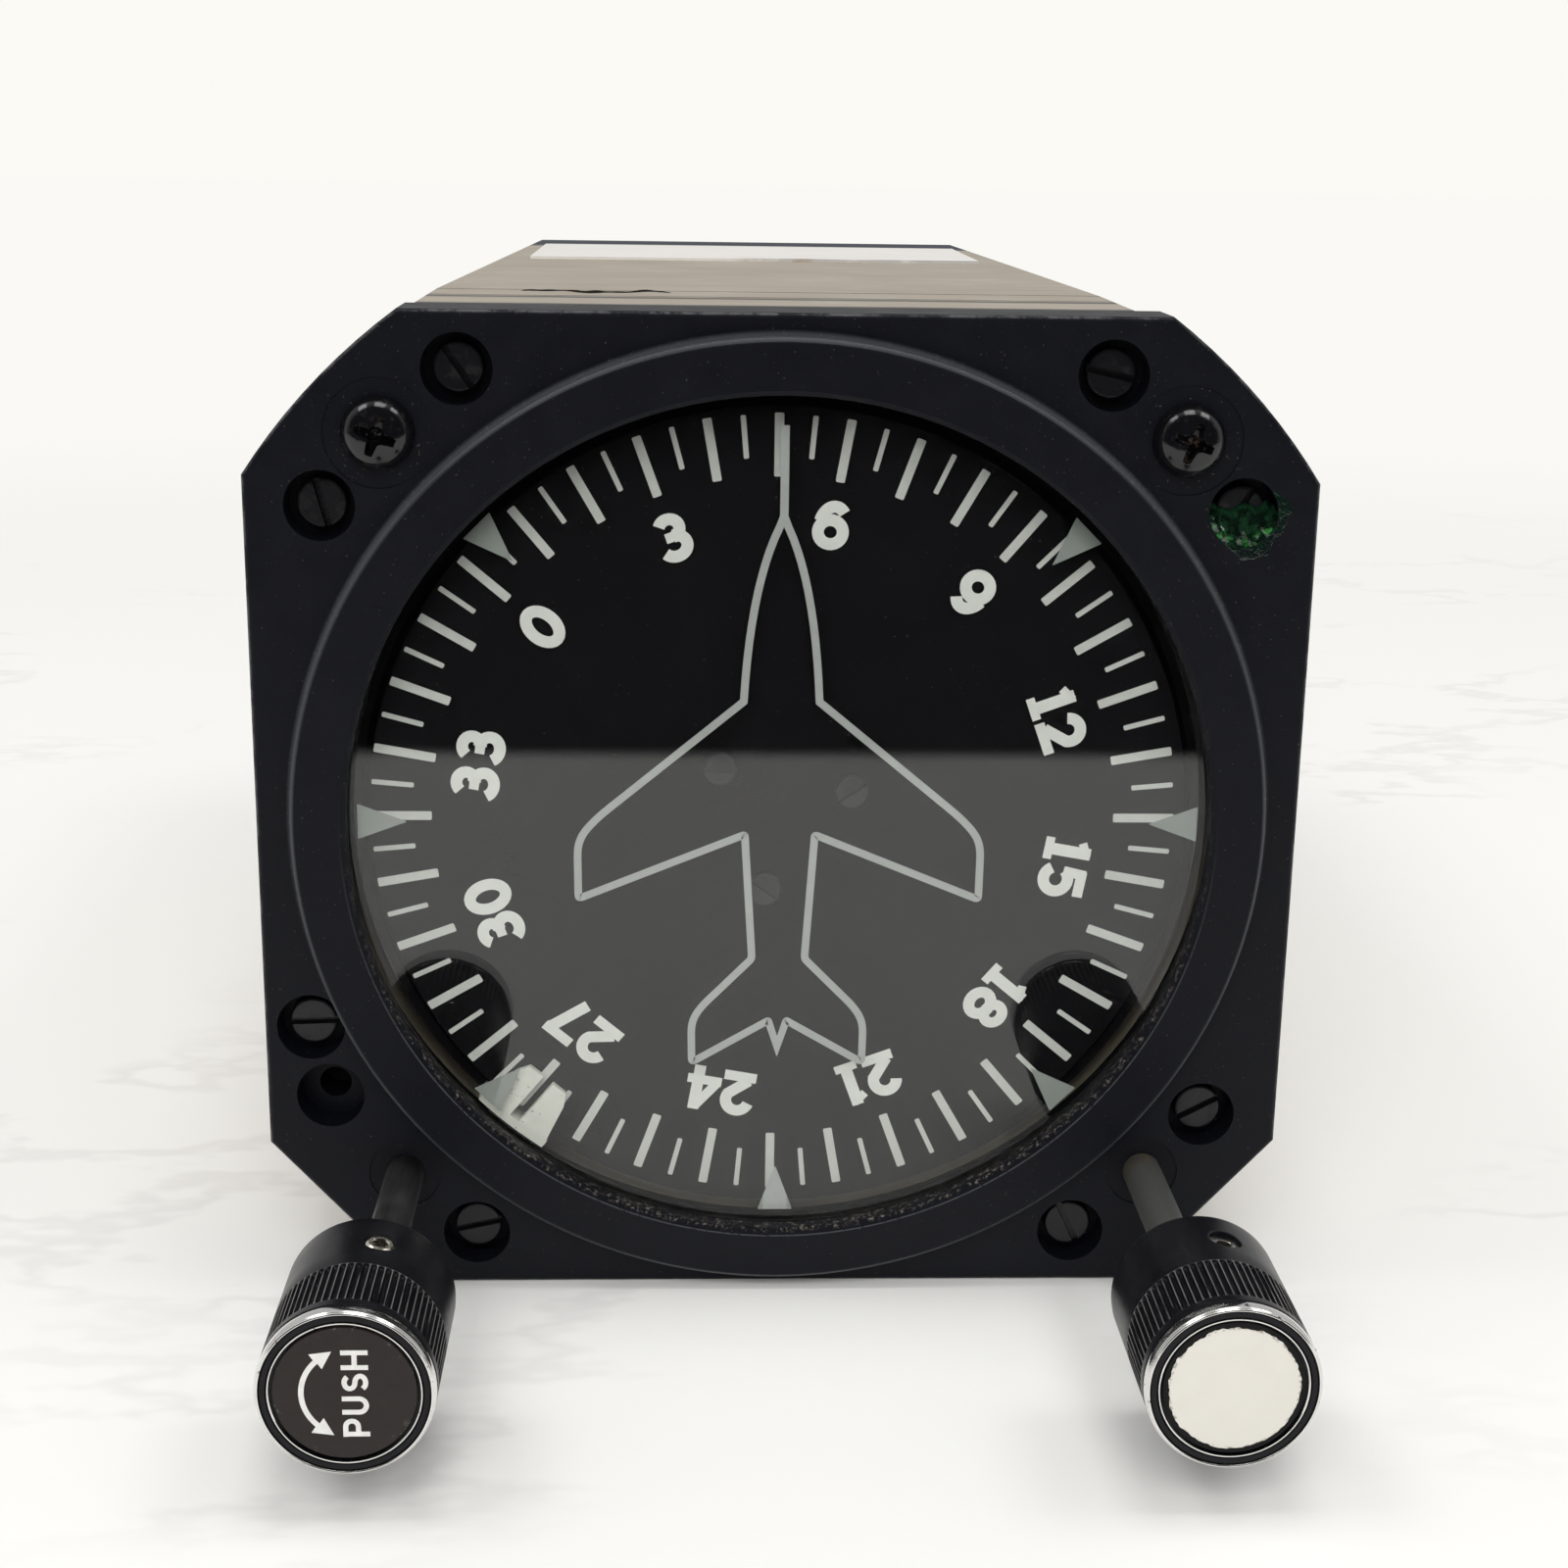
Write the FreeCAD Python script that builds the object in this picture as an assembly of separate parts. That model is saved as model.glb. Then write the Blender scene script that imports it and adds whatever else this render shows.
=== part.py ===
import FreeCAD, Part
import math
import os

from FreeCAD import Vector

# Air-driven directional gyro for a 3-1/8 inch panel hole. Millimetres.
# The origin is on the dial's axis, in the front face of the flange that seats behind the panel.
# +X is right as the pilot sees the dial, +Y runs back into the case and +Z is up.

# Flange and pilot ring, one black casting. The flange's sides stand off from the pilot ring.
pilot_radius = 39.15
pilot_height = 1.6
pilot_chamfer = 0.3
lip_width = 4.4
lip_bevel = 0.4
flange_side_margin = 2.93
flange_top_margin = 1.75
flange_bottom_margin = 1.05
flange_corner_margin = 11.45
flange_chamfer_margin = 10.45
flange_thickness = 6.4
flange_edge_round = 0.5
chamfer_angle = 42.4

# Panel and bezel screws. Margins are from the pilot ring's edge to the screw's axis.
panel_screw_margin = 5.3058
panel_screw_radius = 1.7
panel_screw_head_radius = 2.75
panel_screw_head_height = 2.3
panel_screw_length = 9.6
panel_screw_seat_radius = 4.3
panel_screw_seat_depth = 0.12
panel_screw_head_side = 0.9
panel_screw_head_shoulder = 1.7
cross_length = 2.7
cross_depth = 1.2
cross_width = 0.55
bezel_screw_radius = 1.25
bezel_screw_head_radius = 1.95
bezel_screw_head_height = 1.5
bezel_recess_radius = 2.78
bezel_recess_depth = 3.0
screw_clearance = 0.06
gasket_hole_gap = 0.2
slot_width = 0.55
slot_depth = 0.6
# margin, bearing from +X towards +Z, and slot angle of each bezel screw
bezel_screw_table = (
    (5.18, 124.8, -55.0),
    (5.222, 144.447, -75.0),
    (5.18, 55.2, -13.0),
    (5.222, 35.553, 62.0),
    (2.835, 204.183, 2.0),
    (4.409, 234.814, 12.0),
    (4.433, 324.997, 28.0),
    (4.409, 305.186, -65.0),
)
empty_hole_margin = 4.438
empty_hole_bearing = 212.159

# Cover glass and its seat
glass_front = 0.0
glass_thickness = 1.9
glass_margin = 2.75
glass_side_gap = 0.15
glass_gasket_thickness = 0.7
glass_gasket_width = 0.9
snap_ring_thickness = 0.8
snap_ring_width = 1.7
snap_ring_groove = 0.7
snap_ring_opening = 9.0

# Case. The flange stands out from it by the steps, and it is drawn in by the tapers to the rear.
bezel_gasket_thickness = 0.8
case_side_step = 1.38
case_top_step = 1.3
case_bottom_step = 0.9
case_corner_step = 0.2
case_chamfer_step = 0.3
case_side_taper = 1.3
case_corner_taper = 2.2
case_chamfer_taper = 1.4
case_wall = 2.2
front_wall = 4.0
front_opening_gap = 1.6
front_housing_end = 36.0
frame_rim_length = 7.2
frame_rim_wall = 3.2
frame_gasket_thickness = 0.4
rear_cover_start = 134.0
rear_cover_length = 13.6
rear_cover_wall = 3.0
rear_cover_edge = 1.2
rear_gasket_thickness = 0.6

# Dial, tubes of the dial arbor and its bearings
dial_front = 3.9
dial_thickness = 0.8
dial_margin = 2.9
dial_screw_circle = 6.3
dial_screw_head_radius = 1.35
dial_screw_head_height = 0.5
dial_screw_radius = 0.7
arbor_flange_radius = 9.0
arbor_flange_thickness = 1.5
arbor_radius = 2.46
running_clearance = 0.04
arbor_bearing_radius = 5.0
arbor_bearing_width = 3.0

# Heading bug, its drum and ring gear
bug_angle = 220.0
bug_front = 2.7
bug_thickness = 0.6
bug_length = 3.8
bug_slot_width = 1.0
bug_half_width = 3.4
drum_gap = 0.65
drum_wall = 0.75
drum_front = 5.4
drum_web_thickness = 0.8
gear_width = 1.4
idler_side_gap = 0.2
ring_gear_teeth = 132
idler_teeth = 15
pinion_teeth = 11
gear_addendum = 0.75
gear_dedendum = 1.15
gear_backlash = 0.12
pressure_angle = 20.0
bug_gear_gap = 1.4
retainer_step = 0.8
boss_margin = 7.0
boss_wall = 3.5
bug_retainer_thickness = 0.6

# Support plate behind the ring gear
plate_gap = 4.0
plate_thickness = 3.0
plate_side_gap = 0.3
plate_hub_radius = 8.5
plate_hub_front_gap = 3.6
plate_hub_length = 13.5
plate_window_gap = 6.7
plate_window_radius = 5.2
upper_post_insets = (12.2, 8.1)
lower_post_insets = (19.7, 5.3)
plate_post_radius = 2.5
plate_screw_radius = 1.1
plate_screw_head_radius = 2.0
plate_screw_head_height = 1.3

# Bevel gears between the outer gimbal and the dial
bevel_teeth = 60
bevel_floor_gap = 8.8
bevel_face = 2.8
bevel_addendum = 0.85
bevel_dedendum = 1.15
bevel_backlash = 0.3
bevel_rim = 3.0
bevel_web_thickness = 1.6
bevel_hub_radius = 6.0
set_gear_gap = 0.3
set_gear_hole_radius = 7.0
set_gear_hole_rim = 7.0
bevel_hole_radius = 5.6
bevel_hole_rim = 5.25

# Knobs and their shafts
knob_margin = 4.1
knob_side_inset = 9.74
shaft_radius = 1.5875
pinion_seat_step = 0.4
pinion_seat_gap = 0.1
pinion_hub_length = 0.6
shaft_end_stand = 0.5
bush_radius = 3.0
bush_stand = 0.2
knob_front = -36.5
knob_length = 15.0
knob_radius = 6.3
knob_collar_radius = 6.15
knob_edge = 0.4
rim_edge = 0.3
rim_length = 1.0
knurl_start = 1.9
knurl_length = 5.5
knurl_teeth = 56
knurl_depth = 0.33
knob_face_recess = 0.55
knob_face_radius = 5.75
knob_bore_depth = 12.0
insert_radius = 5.35
insert_thickness = 0.45
set_screw_radius = 1.2
set_screw_sink = 0.45
socket_radius = 0.62
socket_depth = 0.9
set_screw_y = -25.5
set_screw_turn = 12.0
push_travel = 3.2
stop_gap = 0.3
fork_thickness = 1.0
fork_radius = 3.4
fork_ear_wall = 1.3
collar_radius = 2.6
collar_width = 0.6
guide_pin_radius = 1.0
guide_pin_offset = (-4.3, 4.8)
stud_head_radius = 1.5
stud_head_thickness = 0.6
spring_wire = 0.35
spring_radius = 3.15
spring_turns = 3

# Gimbals and rotor
gimbal_side_gap = 15.7
gimbal_top_gap = 11.1
gimbal_side = 3.5
gimbal_depth = 11.0
gimbal_corner = 11.0
pivot_radius = 1.46
pivot_shoulder_radius = 3.0
pivot_bearing_radius = 4.0
frame_arm_half_width = 9.0
frame_arm_thickness = 2.4
frame_arm_gap = 0.4
frame_boss_radius = 6.5
frame_boss_thickness = 3.2
trunnion_radius = 1.2
trunnion_bearing_radius = 3.2
rotor_case_gap = 6.5
rotor_case_wall = 1.6
rotor_case_half_length = 12.0
rotor_cover_thickness = 2.5
rotor_gap = 0.7
rotor_half_length = 9.5
rotor_web_thickness = 5.0
rotor_rim = 5.0
rotor_buckets = 24
rotor_bucket_radius = 1.3
rotor_bucket_width = 5.0
rotor_shaft_radius = 1.5
rotor_bearing_radius = 3.6
cover_hole_radius = 2.6
cover_hole_inset = 7.5
rotor_hub_wall = 2.5
trunnion_boss_radius = 3.0
jet_slot_width = 3.4
nozzle_radius = 1.1
nozzle_bore = 0.5
nozzle_x = 4.6
nozzle_height = 1.0

# Rear cover fittings
port_top_inset = 22.6
port_boss_radius = 9.0
port_boss_height = 8.0
port_hole_radius = 5.56
port_hole_depth = 12.0
filter_floor_inset = 18.8
filter_radius = 12.3
filter_thickness = 5.0
filter_hole_radius = 11.8
filter_cap_radius = 13.6
filter_cap_thickness = 1.5
filter_holes = 12
filter_hole_size = 1.6
plenum_radius = 14.2
plenum_wall = 1.6
duct_radius = 2.0
duct_bore = 1.4
duct_bend = 20.0
duct_bend_angle = 30.0
duct_straight_end = 100.0
tie_screw_radius = 1.25
tie_screw_head_radius = 2.4
tie_screw_head_height = 1.6
upper_tie_insets = (9.7, 8.6)
lower_tie_insets = (8.7, 10.1)
tie_boss_radius = 4.6
tie_thread_depth = 7.0
plate_length = 32.0
plate_width = 52.0
data_plate_thickness = 0.3
data_plate_start = 98.0

# Radii and places across the axis that follow from the sizes above
lip_radius = pilot_radius - lip_width
glass_radius = pilot_radius - glass_margin
dial_radius = glass_radius - dial_margin
bug_inner_radius = dial_radius - bug_length
drum_inner_radius = dial_radius + drum_gap
front_opening_radius = drum_inner_radius + drum_wall + front_opening_gap
flange_half_width = pilot_radius + flange_side_margin
flange_top = pilot_radius + flange_top_margin
flange_bottom = -pilot_radius - flange_bottom_margin
flange_corner_radius = pilot_radius + flange_corner_margin
flange_chamfer_distance = pilot_radius + flange_chamfer_margin
case_half_width = flange_half_width - case_side_step
case_top = flange_top - case_top_step
case_bottom = flange_bottom + case_bottom_step
case_corner_radius = flange_corner_radius - case_corner_step
case_chamfer_distance = flange_chamfer_distance - case_chamfer_step
panel_screw_x = (pilot_radius + panel_screw_margin) * math.sqrt(0.5)
knob_distance = pilot_radius + knob_margin
knob_x = case_half_width - knob_side_inset
knob_z = -math.sqrt(knob_distance**2 - knob_x**2)
gear_module = 2 * knob_distance / (ring_gear_teeth + 2 * idler_teeth + pinion_teeth)
ring_gear_radius = gear_module * ring_gear_teeth / 2
idler_distance = gear_module * (ring_gear_teeth + idler_teeth) / 2
idler_x = knob_x * idler_distance / knob_distance
idler_z = knob_z * idler_distance / knob_distance
boss_radius = ring_gear_radius - boss_margin
boss_inner_radius = boss_radius - boss_wall
plate_window_circle = boss_inner_radius - plate_window_gap
bevel_radius = -case_bottom - bevel_floor_gap
gimbal_half_width = case_half_width - gimbal_side_gap
gimbal_half_height = case_top - gimbal_top_gap
rotor_case_radius = gimbal_half_width - rotor_case_gap
rotor_radius = rotor_case_radius - rotor_case_wall - rotor_gap
port_z = case_top - port_top_inset
filter_z = case_bottom + filter_floor_inset
chamfer_normal_x = math.cos(math.radians(chamfer_angle))
chamfer_normal_z = math.sin(math.radians(chamfer_angle))

# Places along the axis that follow from the sizes above
bezel_gasket_end = flange_thickness + bezel_gasket_thickness
front_wall_end = bezel_gasket_end + front_wall
bug_gear_start = front_wall_end + bug_gear_gap
bug_gear_end = bug_gear_start + gear_width
plate_start = bug_gear_end + plate_gap
plate_end = plate_start + plate_thickness
hub_start = plate_start - plate_hub_length + plate_thickness + plate_hub_front_gap
left_pinion_start = plate_end + stop_gap
set_gear_start = left_pinion_start + gear_width + push_travel + stop_gap
set_gear_end = set_gear_start + gear_width
bevel_heel = set_gear_end + set_gear_gap + bevel_web_thickness
gimbal_y = bevel_heel + bevel_radius
frame_start = front_housing_end + frame_gasket_thickness
frame_end = frame_start + frame_rim_length
body_start = frame_end + frame_gasket_thickness
cover_start = rear_cover_start + rear_gasket_thickness
cover_end = rear_cover_start + rear_cover_length
cover_inner = cover_end - rear_cover_wall



def four_places(upper, lower):
    """Two places near the upper corners and two near the lower ones, from their insets in the case."""
    high = (case_half_width - upper[0], case_top - upper[1])
    low = (case_half_width - lower[0], case_bottom + lower[1])
    return [high, (-high[0], high[1]), low, (-low[0], low[1])]


def round_pilot(margin, bearing):
    """The x and z of a place outside the pilot ring's edge."""
    turn = math.radians(bearing)
    distance = pilot_radius + margin
    return distance * math.cos(turn), distance * math.sin(turn)


plate_posts = four_places(upper_post_insets, lower_post_insets)
tie_screw_places = four_places(upper_tie_insets, lower_tie_insets)
panel_screws = ((-panel_screw_x, panel_screw_x), (panel_screw_x, panel_screw_x))
bezel_screws = [(*round_pilot(margin, bearing), slot) for margin, bearing, slot in bezel_screw_table]
empty_screw_hole = round_pilot(empty_hole_margin, empty_hole_bearing)


def cylinder(radius, start, end, x=0.0, z=0.0):
    """A round bar along the dial's axis direction."""
    return Part.makeCylinder(radius, end - start, Vector(x, start, z), Vector(0, 1, 0))


def ring(outer, inner, start, end, x=0.0, z=0.0):
    """A washer or tube along the dial's axis direction."""
    return cylinder(outer, start, end, x, z).cut(cylinder(inner, start - 1, end + 1, x, z))


def revolve(points, x=0.0, z=0.0):
    """A turned solid: points are (radius, y) pairs round the axis through x, z."""
    corners = [Vector(x + r, y, z) for r, y in points]
    face = Part.Face(Part.makePolygon(corners + corners[:1]))
    return face.revolve(Vector(x, 0, z), Vector(0, 1, 0), 360)


def upright(radius, bottom, top, y=gimbal_y):
    """A round bar along Z on the outer gimbal's axis."""
    return Part.makeCylinder(radius, top - bottom, Vector(0, y, bottom))


def joined(shapes):
    """One solid made of overlapping or touching shapes."""
    return shapes[0].multiFuse(shapes[1:]).removeSplitter()


def outline(half_width, top, bottom, corner, chamfer, y):
    """The case's section: flat sides, upper corners on a circle about the axis, lower corners cut."""
    top_x = math.sqrt(corner**2 - top**2)
    side_z = math.sqrt(corner**2 - half_width**2)
    middle = math.atan2(side_z + top, half_width + top_x)
    mid_x, mid_z = corner * math.cos(middle), corner * math.sin(middle)
    low_z = -(chamfer - chamfer_normal_x * half_width) / chamfer_normal_z
    low_x = (chamfer + chamfer_normal_z * bottom) / chamfer_normal_x

    def at(x, z):
        return Vector(x, y, z)

    edges = [
        Part.makeLine(at(-top_x, top), at(top_x, top)),
        Part.Arc(at(top_x, top), at(mid_x, mid_z), at(half_width, side_z)).toShape(),
        Part.makeLine(at(half_width, side_z), at(half_width, low_z)),
        Part.makeLine(at(half_width, low_z), at(low_x, bottom)),
        Part.makeLine(at(low_x, bottom), at(-low_x, bottom)),
        Part.makeLine(at(-low_x, bottom), at(-half_width, low_z)),
        Part.makeLine(at(-half_width, low_z), at(-half_width, side_z)),
        Part.Arc(at(-half_width, side_z), at(-mid_x, mid_z), at(-top_x, top)).toShape(),
    ]
    return Part.Wire(edges)


def flange_outline(y, inset=0.0):
    return outline(
        flange_half_width - inset,
        flange_top - inset,
        flange_bottom + inset,
        flange_corner_radius - inset,
        flange_chamfer_distance - inset,
        y,
    )


def case_outline(y, inset=0.0):
    """The case's section at y: it is drawn in slightly from the frame to the rear."""
    t = max(0.0, (y - body_start) / (cover_end - body_start))
    return outline(
        case_half_width - t * case_side_taper - inset,
        case_top - inset,
        case_bottom + inset,
        case_corner_radius - t * case_corner_taper - inset,
        case_chamfer_distance - t * case_chamfer_taper - inset,
        y,
    )


def straight_block(wire, length):
    return Part.Face(wire).extrude(Vector(0, length, 0))


def drawn_block(first, second):
    """A solid between two sections of the case."""
    return Part.makeLoft([first, second], True, True)


def case_shell(start, end, inset=0.0):
    if end <= body_start:
        return straight_block(case_outline(start, inset), end - start)
    return drawn_block(case_outline(start, inset), case_outline(end, inset))


def involute(angle):
    return math.tan(angle) - angle


def spur_gear(teeth, start, width, x, z, phase, flank_points):
    """A spur gear with involute flanks; a tooth is centred on the angle phase in the XZ plane."""
    alpha = math.radians(pressure_angle)
    pitch = gear_module * teeth / 2
    base = pitch * math.cos(alpha)
    root = pitch - gear_dedendum * gear_module
    tip = pitch + gear_addendum * gear_module
    thickness = math.pi * gear_module / 2 - gear_backlash / 2
    flank = []
    for i in range(flank_points):
        radius = root + (tip - root) * i / (flank_points - 1)
        inside = math.acos(base / max(radius, base))
        half = thickness / (2 * pitch) + involute(alpha) - involute(inside)
        if radius < base:
            half *= 0.8
        flank.append((radius, half))
    both_flanks = [(radius, -half) for radius, half in flank] + flank[::-1]
    corners = []
    for k in range(teeth):
        middle = phase + 2 * math.pi * k / teeth
        for radius, half in both_flanks:
            angle = middle + half
            corners.append(Vector(x + radius * math.cos(angle), start, z + radius * math.sin(angle)))
    return Part.Face(Part.makePolygon(corners + corners[:1])).extrude(Vector(0, width, 0))


def bevel_outline(distance, phase):
    """The toothed outline of a mitre gear, in the plane at this distance from the cones' tip."""
    alpha = math.radians(pressure_angle)
    pitch = 2 * math.pi * distance / bevel_teeth
    scale = distance / bevel_radius
    slope = math.tan(alpha) * math.sqrt(0.5)
    sides = ((-bevel_dedendum, -1), (bevel_addendum, -1), (bevel_addendum, 1), (-bevel_dedendum, 1))
    corners = []
    for k in range(bevel_teeth):
        middle = phase + 2 * math.pi * k / bevel_teeth
        for height, sign in sides:
            radius = distance + height * scale
            half = pitch / 4 - bevel_backlash * scale / 4 - height * scale * slope
            angle = middle + sign * half / distance
            corners.append((radius * math.cos(angle), radius * math.sin(angle)))
    return corners


def mitre_teeth(phase, place):
    """A toothed ring cut towards the tip of the cones; place turns (distance, u, v) into a point."""
    toe = bevel_radius - bevel_face
    wires = []
    for distance in (bevel_radius, toe):
        corners = [place(distance, u, v) for u, v in bevel_outline(distance, phase)]
        wires.append(Part.makePolygon(corners + corners[:1]))
    return Part.makeLoft(wires, True, True)


def slotted_head(radius, height, front, x, z, angle):
    """A cheese head whose slotted face looks to the front."""
    head = cylinder(radius, front, front + height, x, z)
    slot = Part.makeBox(4 * radius, slot_depth, slot_width, Vector(-2 * radius, front, -slot_width / 2))
    slot.rotate(Vector(0, 0, 0), Vector(0, 1, 0), -angle)
    slot.translate(Vector(x, 0, z))
    return head.cut(slot)


def bezel():
    body = straight_block(flange_outline(0.0), flange_thickness)
    front_edges = [e for e in body.Edges if all(abs(v.Y) < 0.001 for v in e.Vertexes)]
    body = body.makeFillet(flange_edge_round, front_edges)
    pilot = revolve(
        (
            (lip_radius, glass_front),
            (lip_radius, -pilot_height + lip_bevel),
            (lip_radius + lip_bevel, -pilot_height),
            (pilot_radius - pilot_chamfer, -pilot_height),
            (pilot_radius, -pilot_height + pilot_chamfer),
            (pilot_radius, flange_thickness / 2),
            (lip_radius, flange_thickness / 2),
        )
    )
    body = joined([body, pilot])
    seat_radius = glass_radius + glass_side_gap
    ring_start = glass_front + glass_thickness + glass_gasket_thickness
    cuts = [
        cylinder(lip_radius, -pilot_height - 1, flange_thickness + 1),
        cylinder(seat_radius, glass_front, flange_thickness + 1),
        cylinder(seat_radius + snap_ring_groove, ring_start, ring_start + snap_ring_thickness + 0.1),
    ]
    for x, z in panel_screws:
        cuts.append(cylinder(panel_screw_radius + screw_clearance, -1, flange_thickness + 1, x, z))
        cuts.append(cylinder(panel_screw_seat_radius, -1, panel_screw_seat_depth, x, z))
    for x, z in [(s[0], s[1]) for s in bezel_screws] + [empty_screw_hole]:
        cuts.append(cylinder(bezel_recess_radius, -1, bezel_recess_depth, x, z))
        cuts.append(cylinder(bezel_screw_radius + screw_clearance, -1, flange_thickness + 1, x, z))
    for x in (-knob_x, knob_x):
        cuts.append(cylinder(bush_radius, -1, flange_thickness + 1, x, knob_z))
    for cut in cuts:
        body = body.cut(cut)
    return body


def bezel_screw_set():
    shapes = []
    for x, z, angle in bezel_screws:
        front = bezel_recess_depth - bezel_screw_head_height
        head = slotted_head(bezel_screw_head_radius, bezel_screw_head_height, front, x, z, angle)
        shank = cylinder(bezel_screw_radius, bezel_recess_depth, front_wall_end - stop_gap, x, z)
        shapes.append(joined([head, shank]))
    return shapes


def panel_screw_set():
    """Pan heads with a cross recess."""
    shapes = []
    seat = panel_screw_seat_depth
    top = seat - panel_screw_head_height
    for x, z in panel_screws:
        head = revolve(
            (
                (0, seat),
                (panel_screw_head_radius, seat),
                (panel_screw_head_radius, seat - panel_screw_head_side),
                (panel_screw_head_radius * 0.86, seat - panel_screw_head_shoulder),
                (panel_screw_head_radius * 0.45, top),
                (0, top),
            ),
            x,
            z,
        )
        for turn in (20.0, 110.0):
            corner = Vector(-cross_length / 2, top, -cross_width / 2)
            blade = Part.makeBox(cross_length, cross_depth, cross_width, corner)
            blade.rotate(Vector(0, 0, 0), Vector(0, 1, 0), turn)
            blade.translate(Vector(x, 0, z))
            head = head.cut(blade)
        shapes.append(joined([head, cylinder(panel_screw_radius, seat, panel_screw_length, x, z)]))
    return shapes


def cover_glass():
    return cylinder(glass_radius, glass_front, glass_front + glass_thickness)


def glass_gasket():
    start = glass_front + glass_thickness
    return ring(glass_radius, glass_radius - glass_gasket_width, start, start + glass_gasket_thickness)


def snap_ring():
    """A sprung ring in a groove of the bore, open at the top, with an eye at each end."""
    start = glass_front + glass_thickness + glass_gasket_thickness
    end = start + snap_ring_thickness
    outer = glass_radius + glass_side_gap + snap_ring_groove - 0.1
    body = ring(outer, outer - snap_ring_width, start, end)
    gap = Part.makeBox(snap_ring_opening, 3, outer, Vector(-snap_ring_opening / 2, start - 1, 0))
    return body.cut(gap)


def gasket_plate(start, thickness, opening_radius):
    """The flat gasket behind the flange, with the holes that go through it."""
    body = straight_block(case_outline(start), thickness)
    body = body.cut(cylinder(opening_radius, start - 1, start + thickness + 1))
    for x, z, angle in bezel_screws:
        hole = cylinder(bezel_screw_radius + gasket_hole_gap, start - 1, start + thickness + 1, x, z)
        body = body.cut(hole)
    for x, z in panel_screws:
        hole = cylinder(panel_screw_radius + gasket_hole_gap, start - 1, start + thickness + 1, x, z)
        body = body.cut(hole)
    for x in (-knob_x, knob_x):
        body = body.cut(cylinder(bush_radius, start - 1, start + thickness + 1, x, knob_z))
    return body


def front_housing():
    """The cast front of the case: a wall that takes the bezel screws, posts for the plate and a skirt."""
    shell = case_shell(bezel_gasket_end, front_housing_end)
    shell = shell.cut(case_shell(front_wall_end, front_housing_end + 1, case_wall))
    shell = shell.cut(cylinder(front_opening_radius, bezel_gasket_end - 1, front_wall_end + 1))
    posts = [cylinder(plate_post_radius, front_wall_end, plate_start, x, z) for x, z in plate_posts]
    inside = case_shell(front_wall_end, front_housing_end, case_wall / 2)
    for x, z in tie_screw_places:
        boss = cylinder(tie_boss_radius, front_housing_end - tie_thread_depth - 1, front_housing_end, x, z)
        posts.append(boss.common(inside))
    body = joined([shell] + posts)
    for x, z in plate_posts:
        hole = cylinder(plate_screw_radius + screw_clearance, front_wall_end + 1, plate_start + 1, x, z)
        body = body.cut(hole)
    for x, z in tie_screw_places:
        start = front_housing_end - tie_thread_depth
        body = body.cut(cylinder(tie_screw_radius + screw_clearance, start, front_housing_end + 1, x, z))
    for x, z, angle in bezel_screws:
        hole = cylinder(bezel_screw_radius + screw_clearance, 0, front_wall_end + 1, x, z)
        body = body.cut(hole)
    for x, z in panel_screws:
        body = body.cut(cylinder(panel_screw_radius + screw_clearance, 0, front_wall_end, x, z))
    for x in (-knob_x, knob_x):
        body = body.cut(cylinder(bush_radius, 0, front_wall_end + 1, x, knob_z))
    return body


def frame_gaskets():
    shapes = []
    for start in (front_housing_end, frame_end):
        rim = case_shell(start, start + frame_gasket_thickness)
        hollow = straight_block(case_outline(start, case_wall + frame_arm_gap), frame_gasket_thickness)
        rim = rim.cut(hollow)
        for x, z in tie_screw_places:
            end = start + frame_gasket_thickness + 1
            rim = rim.cut(cylinder(tie_screw_radius + gasket_hole_gap, start - 1, end, x, z))
        shapes.append(rim)
    return shapes


def mechanism_frame():
    """The cast rim between the two halves of the case, and the two arms that carry the outer gimbal."""
    rim = case_shell(frame_start, frame_end)
    rim = rim.cut(straight_block(case_outline(frame_start, frame_rim_wall), frame_rim_length + 1))
    inside = straight_block(case_outline(frame_start, frame_rim_wall / 2), frame_rim_length)
    shapes = [rim]
    for x, z in tie_screw_places:
        shapes.append(cylinder(tie_boss_radius, frame_start, frame_end, x, z).common(inside))
    arm_top = case_top - case_wall - frame_arm_gap
    arm_low = case_bottom + case_wall + frame_arm_gap
    for low, high, boss_low, boss_high in (
        (arm_top - frame_arm_thickness, arm_top, arm_top - frame_boss_thickness, arm_top),
        (arm_low, arm_low + frame_arm_thickness, arm_low, arm_low + frame_boss_thickness),
    ):
        length = gimbal_y - frame_start
        width = 2 * frame_arm_half_width
        taper = Part.makePolygon(
            [
                Vector(-frame_arm_half_width, frame_start, low),
                Vector(frame_arm_half_width, frame_start, low),
                Vector(frame_boss_radius, gimbal_y, low),
                Vector(-frame_boss_radius, gimbal_y, low),
                Vector(-frame_arm_half_width, frame_start, low),
            ]
        )
        arm = Part.Face(taper).extrude(Vector(0, 0, high - low))
        corner = Vector(-width * 0.2, frame_end + 3, low - 3)
        window = Part.makeBox(width * 0.4, length * 0.35, 10, corner)
        shapes.append(arm.cut(window))
        shapes.append(upright(frame_boss_radius, boss_low, boss_high))
    body = joined(shapes)
    body = body.cut(upright(pivot_bearing_radius, case_bottom, case_top))
    for x, z in tie_screw_places:
        body = body.cut(cylinder(tie_screw_radius + screw_clearance, frame_start - 1, frame_end + 1, x, z))
    return body


def case_body():
    shell = case_shell(body_start, rear_cover_start)
    hollow = drawn_block(case_outline(body_start, case_wall), case_outline(rear_cover_start, case_wall))
    return shell.cut(hollow)


def rear_gasket():
    end = rear_cover_start + rear_gasket_thickness
    rim = drawn_block(case_outline(rear_cover_start), case_outline(end))
    return rim.cut(drawn_block(case_outline(rear_cover_start, case_wall), case_outline(end, case_wall)))


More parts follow.
